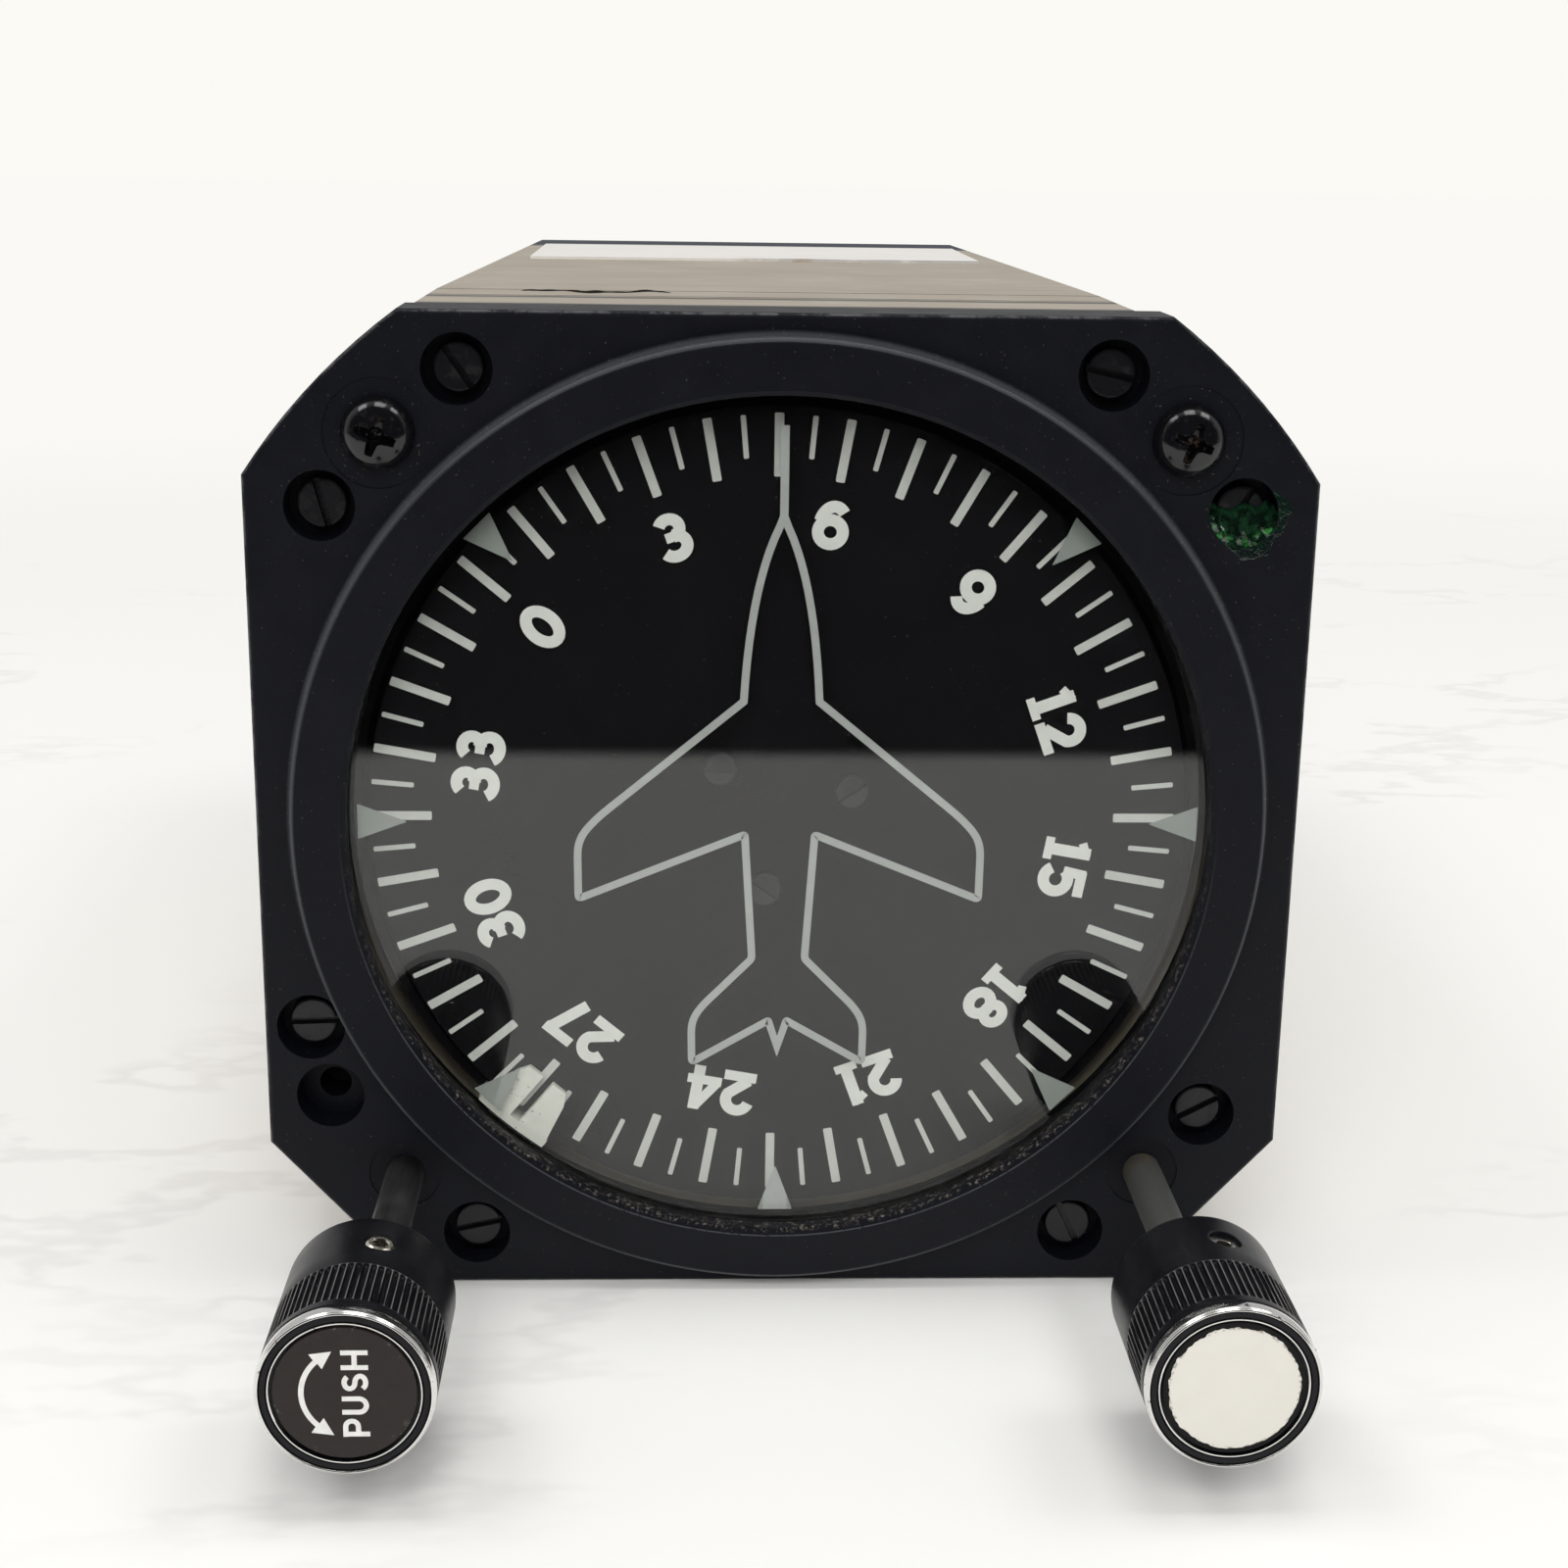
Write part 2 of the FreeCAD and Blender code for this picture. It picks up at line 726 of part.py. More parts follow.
def rear_cover():
    """A cast cap with the suction port's boss and the chamber that holds the inlet filter."""
    edge_start = cover_end - rear_cover_edge
    shell = drawn_block(case_outline(cover_start), case_outline(edge_start))
    edge = drawn_block(case_outline(edge_start), case_outline(cover_end, rear_cover_edge))
    hollow = drawn_block(case_outline(cover_start, case_wall), case_outline(cover_inner, case_wall))
    shell = joined([shell, edge]).cut(hollow)
    chamber_start = cover_inner - filter_thickness - plenum_wall
    chamber = ring(plenum_radius, plenum_radius - plenum_wall, chamber_start, cover_inner, 0, filter_z)
    chamber_floor = cylinder(plenum_radius, chamber_start, chamber_start + plenum_wall, 0, filter_z)
    port_end = cover_end + port_boss_height
    port = cylinder(port_boss_radius, cover_inner, port_end, 0, port_z)
    shapes = [shell, chamber, chamber_floor, port]
    for x, z in tie_screw_places:
        post = cylinder(tie_boss_radius, cover_start, cover_inner, x, z)
        shapes.append(post.common(drawn_block(case_outline(cover_start, 1), case_outline(cover_inner, 1))))
    body = joined(shapes)
    cuts = [
        cylinder(filter_hole_radius, cover_inner - 1, cover_end + 1, 0, filter_z),
        cylinder(port_hole_radius, port_end - port_hole_depth, port_end + 1, 0, port_z),
        cylinder(duct_bore, chamber_start - 1, chamber_start + plenum_wall + 1, 0, duct_end_z()),
    ]
    for x, z in tie_screw_places:
        cuts.append(cylinder(tie_screw_radius + screw_clearance, cover_start - 1, cover_end + 1, x, z))
    for cut in cuts:
        body = body.cut(cut)
    return body


def tie_screws():
    shapes = []
    for x, z in tie_screw_places:
        start = front_housing_end - tie_thread_depth + 1
        head_end = cover_end + tie_screw_head_height
        shank = cylinder(tie_screw_radius, start, cover_end, x, z)
        head = cylinder(tie_screw_head_radius, cover_end, head_end, x, z)
        corner = Vector(x - 2 * tie_screw_head_radius, head_end - slot_depth, z - slot_width / 2)
        slot = Part.makeBox(4 * tie_screw_head_radius, slot_depth, slot_width, corner)
        shapes.append(joined([shank, head.cut(slot)]))
    return shapes


def inlet_filter():
    start = cover_inner - filter_thickness
    return cylinder(filter_radius, start, cover_inner, 0, filter_z)


def filter_cap():
    """A round cap with a ring of holes, on the outside of the rear cover."""
    end = cover_end + filter_cap_thickness
    cap = cylinder(filter_cap_radius, cover_end, end, 0, filter_z)
    outer_circle = filter_hole_radius - 2 * filter_hole_size
    inner_circle = filter_hole_radius / 2 - 0.75 * filter_hole_size
    for radius, count in ((outer_circle, filter_holes), (inner_circle, filter_holes // 2)):
        for k in range(count):
            angle = 2 * math.pi * k / count
            x, z = radius * math.cos(angle), filter_z + radius * math.sin(angle)
            cap = cap.cut(cylinder(filter_hole_size, cover_end - 1, end + 1, x, z))
    return cap


def duct_start_z():
    return case_bottom + case_wall + frame_arm_gap + duct_radius


def duct_end_z():
    rise = 2 * duct_bend * (1 - math.cos(math.radians(duct_bend_angle)))
    return duct_start_z() + rise


def air_duct():
    """The tube from the inlet filter's chamber to the outer gimbal's lower pivot."""
    bend = math.radians(duct_bend_angle)
    start_y = gimbal_y + frame_boss_radius
    low, high = duct_start_z(), duct_end_z()
    half_y, half_z = duct_bend * math.sin(bend), duct_bend * (1 - math.cos(bend))
    mid_y, mid_z = duct_bend * math.sin(bend / 2), duct_bend * (1 - math.cos(bend / 2))
    y1 = duct_straight_end
    y2 = y1 + 2 * half_y
    end_y = cover_inner - filter_thickness - plenum_wall
    path = Part.Wire(
        [
            Part.makeLine(Vector(0, start_y, low), Vector(0, y1, low)),
            Part.Arc(
                Vector(0, y1, low),
                Vector(0, y1 + mid_y, low + mid_z),
                Vector(0, y1 + half_y, low + half_z),
            ).toShape(),
            Part.Arc(
                Vector(0, y1 + half_y, low + half_z),
                Vector(0, y2 - mid_y, high - mid_z),
                Vector(0, y2, high),
            ).toShape(),
            Part.makeLine(Vector(0, y2, high), Vector(0, end_y, high)),
        ]
    )
    pipes = []
    for radius in (duct_radius, duct_bore):
        circle = Part.Wire(Part.makeCircle(radius, Vector(0, start_y, low), Vector(0, 1, 0)))
        pipes.append(path.makePipeShell([circle], True, False))
    return pipes[0].cut(pipes[1])


def data_plate():
    """A plain thin plate on the top of the case, with nothing on it."""
    corner = Vector(-plate_width / 2, data_plate_start, case_top)
    return Part.makeBox(plate_width, plate_length, data_plate_thickness, corner)


def support_plate():
    """The plate across the front housing: the dial's arbor, the bug's ring gear and the shafts run in it."""
    wire = case_outline(plate_start, case_wall + plate_side_gap)
    plate = straight_block(wire, plate_thickness)
    boss = ring(boss_radius, boss_inner_radius, bug_gear_start, plate_start)
    land_start = bug_gear_start - drum_web_thickness
    retainer_land = ring(boss_radius - retainer_step, boss_inner_radius, land_start, bug_gear_start)
    hub = cylinder(plate_hub_radius, hub_start, hub_start + plate_hub_length)
    body = joined([plate, boss, retainer_land, hub])
    cuts = [cylinder(arbor_radius + 0.5, hub_start - 1, hub_start + plate_hub_length + 1)]
    for start in (hub_start, hub_start + plate_hub_length - arbor_bearing_width):
        cuts.append(cylinder(arbor_bearing_radius, start, start + arbor_bearing_width))
    for k in range(6):
        angle = math.radians(60 * k)
        place = (plate_window_circle * math.cos(angle), plate_window_circle * math.sin(angle))
        cuts.append(cylinder(plate_window_radius, plate_start - 1, plate_end + 1, *place))
    for x, z in plate_posts:
        cuts.append(cylinder(plate_screw_radius + screw_clearance, plate_start - 1, plate_end + 1, x, z))
    for x in (-1, 1):
        hole_radius = shaft_radius + running_clearance
        cuts.append(cylinder(hole_radius, plate_start - 1, plate_end + 1, x * knob_x, knob_z))
        cuts.append(cylinder(guide_pin_radius, plate_start - 1, plate_end + 1, x * idler_x, idler_z))
    cuts.append(cylinder(guide_pin_radius, plate_start - 1, plate_end + 1, *guide_pin_place()))
    for cut in cuts:
        body = body.cut(cut)
    return body


def guide_pin_place():
    return (-knob_x + guide_pin_offset[0], knob_z + guide_pin_offset[1])


def plate_screws():
    shapes = []
    for x, z in plate_posts:
        shank = cylinder(plate_screw_radius, plate_start - 4, plate_end, x, z)
        head = cylinder(plate_screw_head_radius, plate_end, plate_end + plate_screw_head_height, x, z)
        shapes.append(joined([shank, head]))
    return shapes


def arbor_bearings():
    shapes = []
    for start in (hub_start, hub_start + plate_hub_length - arbor_bearing_width):
        end = start + arbor_bearing_width
        shapes.append(ring(arbor_bearing_radius, arbor_radius + running_clearance, start, end))
    return shapes


def shaft_bushes():
    shapes = []
    for x in (-knob_x, knob_x):
        end = front_wall_end + bush_stand
        bore = shaft_radius + running_clearance
        shapes.append(ring(bush_radius, bore, panel_screw_seat_depth, end, x, knob_z))
    return shapes


def idler_studs():
    """A pin with a thin head for each idler, pressed into the support plate."""
    x, z = idler_x, idler_z
    head_end = bug_gear_start - stop_gap
    right = joined(
        [
            cylinder(guide_pin_radius, head_end, plate_end, x, z),
            cylinder(stud_head_radius, head_end - stud_head_thickness, head_end, x, z),
            ring(collar_radius, guide_pin_radius, bug_gear_end + stop_gap, plate_start, x, z),
        ]
    )
    head_start = set_gear_end + stop_gap
    left = joined(
        [
            cylinder(guide_pin_radius, plate_start, head_start, -x, z),
            cylinder(stud_head_radius, head_start, head_start + stud_head_thickness, -x, z),
            ring(collar_radius, guide_pin_radius, plate_end, set_gear_start - stop_gap, -x, z),
        ]
    )
    return [right, left]


def fork_guide_pin():
    x, z = guide_pin_place()
    return cylinder(guide_pin_radius, front_wall_end + stop_gap, plate_end, x, z)


def bug_retainer():
    """The flat ring on the boss that keeps the ring gear from coming forward."""
    end = bug_gear_start - drum_web_thickness
    return ring(boss_radius + retainer_step, boss_inner_radius, end - bug_retainer_thickness, end)


def dial_card():
    body = cylinder(dial_radius, dial_front, dial_front + dial_thickness)
    for x, z in dial_screw_places():
        body = body.cut(cylinder(dial_screw_radius + screw_clearance, dial_front - 1, dial_front + 2, x, z))
    return body


def dial_screw_places():
    places = []
    for angle in (20, 140, 260):
        turn = math.radians(angle)
        places.append((dial_screw_circle * math.cos(turn), dial_screw_circle * math.sin(turn)))
    return places


def dial_screws():
    shapes = []
    for (x, z), slot in zip(dial_screw_places(), (35, 0, -35)):
        head = cylinder(dial_screw_head_radius, dial_front - dial_screw_head_height, dial_front, x, z)
        cutter = Part.makeBox(6, 0.25, 0.4, Vector(-3, dial_front - dial_screw_head_height, -0.2))
        cutter.rotate(Vector(0, 0, 0), Vector(0, 1, 0), -slot)
        cutter.translate(Vector(x, 0, z))
        end = dial_front + dial_thickness + arbor_flange_thickness
        shapes.append(joined([head.cut(cutter), cylinder(dial_screw_radius, dial_front, end, x, z)]))
    return shapes


def dial_arbor():
    start = dial_front + dial_thickness
    flange_end = start + arbor_flange_thickness
    body = joined(
        [
            cylinder(arbor_flange_radius, start, flange_end),
            cylinder(arbor_radius + 1.5, flange_end, hub_start - stop_gap),
            cylinder(arbor_radius, start, bevel_heel + bevel_face - 1),
        ]
    )
    for x, z in dial_screw_places():
        body = body.cut(cylinder(dial_screw_radius + screw_clearance, start - 1, flange_end + 1, x, z))
    return body


def ring_gear_phase():
    """Puts a tooth of the ring gear on the line to the right-hand idler."""
    return math.atan2(idler_z, idler_x)


def dial_set_gear():
    """The spur gear on the dial's arbor that the left knob turns through its idler."""
    phase = math.atan2(idler_z, -idler_x)
    gear = spur_gear(ring_gear_teeth, set_gear_start, gear_width, 0, 0, phase, 2)
    hub = cylinder(bevel_hub_radius, hub_start + plate_hub_length + stop_gap, set_gear_start)
    body = joined([gear, hub]).cut(cylinder(arbor_radius, 0, gimbal_y))
    circle = ring_gear_radius - set_gear_hole_rim - set_gear_hole_radius
    for k in range(6):
        angle = math.radians(60 * k + 30)
        x, z = circle * math.cos(angle), circle * math.sin(angle)
        body = body.cut(cylinder(set_gear_hole_radius, set_gear_start - 1, set_gear_end + 1, x, z))
    return body


def dial_bevel_gear():
    """The mitre gear on the dial's arbor. A tooth points straight down at rest."""

    def place(distance, u, v):
        return Vector(u, gimbal_y - distance, v)

    teeth = mitre_teeth(-math.pi / 2, place)
    toe = gimbal_y - bevel_radius + bevel_face
    inner = bevel_radius - bevel_dedendum - bevel_rim
    bore = Part.makeCone(inner, inner - bevel_face, bevel_face, Vector(0, bevel_heel, 0), Vector(0, 1, 0))
    web_start = bevel_heel - bevel_web_thickness
    web = cylinder(inner + 1, web_start, bevel_heel)
    hub = cylinder(bevel_hub_radius, set_gear_end, toe - 0.5)
    body = joined([teeth.cut(bore), web, hub]).cut(cylinder(arbor_radius, 0, gimbal_y))
    circle = inner - bevel_hole_rim - bevel_hole_radius
    for k in range(5):
        angle = math.radians(72 * k + 36)
        x, z = circle * math.cos(angle), circle * math.sin(angle)
        body = body.cut(cylinder(bevel_hole_radius, web_start - 1, bevel_heel + 1, x, z))
    return body


def gimbal_bevel_gear():
    """The same gear under the outer gimbal. A gap between teeth faces the dial at rest."""

    def place(distance, u, v):
        return Vector(u, gimbal_y + v, -distance)

    teeth = mitre_teeth(-math.pi / 2 + math.pi / bevel_teeth, place)
    inner = bevel_radius - bevel_dedendum - bevel_rim
    cone_foot = Vector(0, gimbal_y, -bevel_radius)
    bore = Part.makeCone(inner, inner - bevel_face, bevel_face, cone_foot, Vector(0, 0, 1))
    web = upright(inner + 1, -bevel_radius - bevel_web_thickness, -bevel_radius)
    hub = upright(bevel_hub_radius, -bevel_radius - bevel_web_thickness, -gimbal_half_height)
    body = joined([teeth.cut(bore), web, hub]).cut(upright(pivot_radius, -case_top, 0))
    circle = inner - bevel_hole_rim - bevel_hole_radius
    for k in range(5):
        angle = math.radians(72 * k)
        foot = Vector(circle * math.cos(angle), gimbal_y + circle * math.sin(angle), -case_top)
        body = body.cut(Part.makeCylinder(bevel_hole_radius, case_top, foot))
    return body


def rounded_loop(half_width, half_height, corner, depth):
    """A block with four rounded corners, square to the dial's axis and centred on the gimbal."""
    box = Part.makeBox(
        2 * half_width,
        depth,
        2 * half_height,
        Vector(-half_width, gimbal_y - depth / 2, -half_height),
    )
    corners = [e for e in box.Edges if abs(e.Vertexes[0].Y - e.Vertexes[-1].Y) > depth / 2]
    return box.makeFillet(corner, corners)


def outer_gimbal():
    outer = rounded_loop(gimbal_half_width, gimbal_half_height, gimbal_corner, gimbal_depth)
    inner = rounded_loop(
        gimbal_half_width - gimbal_side,
        gimbal_half_height - gimbal_side,
        gimbal_corner - gimbal_side + 0.5,
        gimbal_depth + 2,
    )
    body = outer.cut(inner)
    body = body.cut(upright(pivot_radius, -case_top, case_top))
    body = body.cut(across(trunnion_bearing_radius, -2 * gimbal_half_width, 2 * gimbal_half_width))
    for x in (-nozzle_x, nozzle_x):
        body = body.cut(Part.makeCylinder(nozzle_bore, case_top, Vector(x, gimbal_y, -case_top)))
    return body


def air_nozzles():
    """Two jets on the lower bar of the outer gimbal, which blow on the rotor through a slot."""
    shapes = []
    low = -gimbal_half_height + gimbal_side
    for x in (-nozzle_x, nozzle_x):
        stem = Part.makeCylinder(nozzle_radius, nozzle_height, Vector(x, gimbal_y, low))
        shapes.append(stem.cut(Part.makeCylinder(nozzle_bore, 3, Vector(x, gimbal_y, low - 1))))
    return shapes


def gimbal_pivots():
    arm_top = case_top - case_wall - frame_arm_gap
    arm_low = case_bottom + case_wall + frame_arm_gap
    top_shoulder = arm_top - frame_boss_thickness - stop_gap
    inner = gimbal_half_height - gimbal_side
    upper = joined(
        [
            upright(pivot_radius, inner, arm_top - 0.1),
            upright(pivot_shoulder_radius, gimbal_half_height, top_shoulder),
        ]
    )
    lower = upright(pivot_radius, arm_low + 0.1, -inner)
    return [upper, lower]


def pivot_bearings():
    arm_top = case_top - case_wall - frame_arm_gap
    arm_low = case_bottom + case_wall + frame_arm_gap
    shapes = []
    for low, high in ((arm_top - frame_boss_thickness, arm_top), (arm_low, arm_low + frame_boss_thickness)):
        race = upright(pivot_bearing_radius, low, high)
        shapes.append(race.cut(upright(pivot_radius + running_clearance, low - 1, high + 1)))
    return shapes


def across(radius, start, end):
    """A round bar along X on the inner gimbal's axis."""
    return Part.makeCylinder(radius, end - start, Vector(start, gimbal_y, 0), Vector(1, 0, 0))


def trunnion_bearings():
    shapes = []
    inner, outer = gimbal_half_width - gimbal_side, gimbal_half_width
    for start, end in ((inner, outer), (-outer, -inner)):
        race = across(trunnion_bearing_radius, start, end)
        shapes.append(race.cut(across(trunnion_radius + running_clearance, start - 1, end + 1)))
    return shapes


def rotor_case():
    """The inner gimbal: a drum round the rotor with a trunnion boss on each side and a slot for the jets."""
    wall = ring(
        rotor_case_radius,
        rotor_case_radius - rotor_case_wall,
        gimbal_y - rotor_case_half_length,
        gimbal_y + rotor_case_half_length,
    )
    boss_end = gimbal_half_width - gimbal_side - stop_gap
    bosses = [
        across(trunnion_boss_radius, rotor_case_radius - 1, boss_end),
        across(trunnion_boss_radius, -boss_end, 1 - rotor_case_radius),
    ]
    body = joined([wall] + bosses)
    hollow = cylinder(
        rotor_case_radius - rotor_case_wall,
        gimbal_y - rotor_case_half_length - 1,
        gimbal_y + rotor_case_half_length + 1,
    )
    body = body.cut(hollow).cut(across(trunnion_radius, -gimbal_half_width, gimbal_half_width))
    for x in (-nozzle_x, nozzle_x):
        slot = Part.makeBox(
            jet_slot_width,
            1.4 * rotor_case_half_length,
            rotor_case_radius,
            Vector(x - jet_slot_width / 2, gimbal_y - 0.7 * rotor_case_half_length, -rotor_case_radius),
        )
        body = body.cut(slot.cut(hollow))
    return body


def trunnions():
    inner = rotor_case_radius - rotor_case_wall + 0.1
    outer = gimbal_half_width - 0.2
    return [across(trunnion_radius, inner, outer), across(trunnion_radius, -outer, -inner)]


def rotor_covers():
    """A dished end cover on each side of the drum, with the rotor bearing's seat."""
    shapes = []
    for side in (-1, 1):
        near = gimbal_y + side * rotor_case_half_length
        far = near + side * rotor_cover_thickness
        low, high = min(near, far), max(near, far)
        cover = ring(rotor_case_radius, rotor_bearing_radius, low, high)
        circle = rotor_case_radius - cover_hole_inset
        for k in range(6):
            angle = math.radians(60 * k)
            x, z = circle * math.cos(angle), circle * math.sin(angle)
            cover = cover.cut(cylinder(cover_hole_radius, low - 1, high + 1, x, z))
        shapes.append(cover)
    return shapes


def rotor_bearings():
    shapes = []
    for side in (-1, 1):
        near = gimbal_y + side * rotor_case_half_length
        far = near + side * rotor_cover_thickness
        bore = rotor_shaft_radius + running_clearance
        shapes.append(ring(rotor_bearing_radius, bore, min(near, far), max(near, far)))
    return shapes


def rotor():
    """A heavy rim on a thin web, with a row of buckets round the middle of the rim."""
    inner = rotor_radius - rotor_rim
    half_web = rotor_web_thickness / 2
    body = revolve(
        (
            (rotor_shaft_radius, gimbal_y - rotor_half_length),
            (rotor_shaft_radius + rotor_hub_wall, gimbal_y - rotor_half_length),
            (rotor_shaft_radius + 4, gimbal_y - half_web),
            (inner - 1, gimbal_y - half_web),
            (inner, gimbal_y - rotor_half_length),
            (rotor_radius, gimbal_y - rotor_half_length),
            (rotor_radius, gimbal_y + rotor_half_length),
            (inner, gimbal_y + rotor_half_length),
            (inner - 1, gimbal_y + half_web),
            (rotor_shaft_radius + 4, gimbal_y + half_web),
            (rotor_shaft_radius + rotor_hub_wall, gimbal_y + rotor_half_length),
            (rotor_shaft_radius, gimbal_y + rotor_half_length),
        )
    )
    start, end = gimbal_y - rotor_bucket_width / 2, gimbal_y + rotor_bucket_width / 2
    for k in range(rotor_buckets):
        angle = 2 * math.pi * k / rotor_buckets
        x, z = rotor_radius * math.cos(angle), rotor_radius * math.sin(angle)
        body = body.cut(cylinder(rotor_bucket_radius, start, end, x, z))
    return body


def rotor_shaft():
    reach = rotor_case_half_length + rotor_cover_thickness - 0.3
    return cylinder(rotor_shaft_radius, gimbal_y - reach, gimbal_y + reach)


def turned_to_bug(shape):
    """Turns a shape drawn at the top of the dial to the bug's place, clockwise as the pilot sees it."""
    shape.rotate(Vector(0, 0, 0), Vector(0, 1, 0), bug_angle)
    return shape


def heading_bug():
    """Two lobes either side of a slot, on a leg that passes the dial's edge to the drum."""
    end = drum_inner_radius + drum_wall
    half_slot = bug_slot_width / 2
    back = bug_front + bug_thickness
    lobes = []
    for side in (-1, 1):
        points = (
            (half_slot, bug_inner_radius),
            (1.9, bug_inner_radius),
            (2.5, bug_inner_radius + 1.0),
            (bug_half_width, end - 0.4),
            (half_slot, end - 0.4),
        )
        corners = [Vector(side * x, bug_front, z) for x, z in points]
        lobes.append(Part.Face(Part.makePolygon(corners + corners[:1])).extrude(Vector(0, bug_thickness, 0)))
    leg = ring(end, drum_inner_radius, back, drum_front)
    leg = leg.common(Part.makeBox(2 * bug_half_width, 9, end, Vector(-bug_half_width, 0, end / 2)))
    bridge = ring(end, drum_inner_radius, bug_front, back)
    bridge = bridge.common(Part.makeBox(2 * bug_half_width, 9, end, Vector(-bug_half_width, 0, end / 2)))
    return turned_to_bug(joined(lobes + [bridge, leg]))


def bug_drum():
    """A thin cup round the back of the dial, fixed to the front of the ring gear."""
    outer = drum_inner_radius + drum_wall
    web_start = bug_gear_start - drum_web_thickness
    web_inner = boss_radius + 1.1
    return revolve(
        (
            (drum_inner_radius, drum_front),
            (outer, drum_front),
            (outer, bug_gear_start),
            (web_inner, bug_gear_start),
            (web_inner, web_start),
            (drum_inner_radius, web_start),
        )
    )


def bug_ring_gear():
    gear = spur_gear(ring_gear_teeth, bug_gear_start, gear_width, 0, 0, ring_gear_phase(), 2)
    return gear.cut(cylinder(boss_radius + running_clearance, 0, plate_end))


def idler_gear(side, start):
    """An idler that has a gap towards the ring gear and so meshes with its tooth."""
    towards_axis = math.atan2(-idler_z, -side * idler_x)
    phase = towards_axis + math.pi / idler_teeth
    width = gear_width - 2 * idler_side_gap
    gear = spur_gear(idler_teeth, start + idler_side_gap, width, side * idler_x, idler_z, phase, 4)
    return gear.cut(cylinder(guide_pin_radius + running_clearance, 0, gimbal_y, side * idler_x, idler_z))


def pinion(side, start):
    """A knob shaft's pinion. The idler has an odd number of teeth, so it shows a tooth on the far side.

    The right-hand one has a short hub in front.
    """
    x, z = side * knob_x, knob_z
    phase = math.atan2(-z, -x) + math.pi / pinion_teeth
    gear = spur_gear(pinion_teeth, start, gear_width, x, z, phase, 4)
    bore = cylinder(shaft_radius - pinion_seat_step, 0, gimbal_y, x, z)
    if side > 0:
        gear = joined([gear, cylinder(shaft_radius + 0.35, start - pinion_hub_length, start, x, z)])
    return gear.cut(bore)


def right_shaft():
    """A rod with a smaller seat for the pinion."""
    x, z = knob_x, knob_z
    inner_end = bug_gear_start - pinion_hub_length
    return joined(
        [
            cylinder(shaft_radius, knob_front + knob_length - knob_bore_depth, inner_end, x, z),
            cylinder(shaft_radius - pinion_seat_step, inner_end, bug_gear_end, x, z),
            cylinder(shaft_radius, bug_gear_end, plate_end + shaft_end_stand, x, z),
        ]
    )


def left_shaft():
    """A rod that slides and turns, with two thin collars that hold the fork between them."""
    x, z = -knob_x, knob_z
    fork_start = front_wall_end + stop_gap + collar_width
    fork_end = fork_start + fork_thickness
    seat_start = left_pinion_start - pinion_seat_gap
    return joined(
        [
            cylinder(shaft_radius, knob_front + knob_length - knob_bore_depth, seat_start, x, z),
            cylinder(shaft_radius - pinion_seat_step, seat_start, left_pinion_start + gear_width, x, z),
            cylinder(collar_radius, fork_start - collar_width, fork_start - running_clearance, x, z),
            cylinder(collar_radius, fork_end + running_clearance, fork_end + collar_width, x, z),
        ]
    )


def cage_fork():
    """The plate between the shaft's collars: it slides with the shaft but can't turn, on a guide pin."""
    start = front_wall_end + stop_gap + collar_width
    end = start + fork_thickness
    x, z = guide_pin_place()
    round_plate = cylinder(fork_radius, start, end, -knob_x, knob_z)
    ear = cylinder(guide_pin_radius + fork_ear_wall, start, end, x, z)
    link_width = 2 * fork_ear_wall
    link_start = Vector(0, start, -link_width / 2)
    link = Part.makeBox(math.hypot(*guide_pin_offset), fork_thickness, link_width, link_start)
    turn = math.degrees(math.atan2(guide_pin_offset[1], guide_pin_offset[0]))
    link.rotate(Vector(0, 0, 0), Vector(0, 1, 0), -turn)
    link.translate(Vector(-knob_x, 0, knob_z))
    body = joined([round_plate, ear, link])
    body = body.common(straight_block(case_outline(start, case_wall + plate_side_gap), fork_thickness))
    body = body.cut(cylinder(shaft_radius + running_clearance, start - 1, end + 1, -knob_x, knob_z))
    return body.cut(cylinder(guide_pin_radius + running_clearance, start - 1, end + 1, x, z))


def return_spring():
    """A coil spring that pushes the fork, and so the left knob, forward."""
    start = front_wall_end + stop_gap + collar_width + fork_thickness
    height = plate_start - start - spring_wire
    coil = Part.makeHelix(height / spring_turns, height, spring_radius)
    circle = Part.Wire(Part.makeCircle(spring_wire / 2, Vector(spring_radius, 0, 0), Vector(0, 1, 0)))
    spring = Part.Wire(coil.Edges).makePipeShell([circle], True, True)
    spring.rotate(Vector(0, 0, 0), Vector(1, 0, 0), -90)
    spring.translate(Vector(-knob_x, start + spring_wire / 2, knob_z))
    return spring


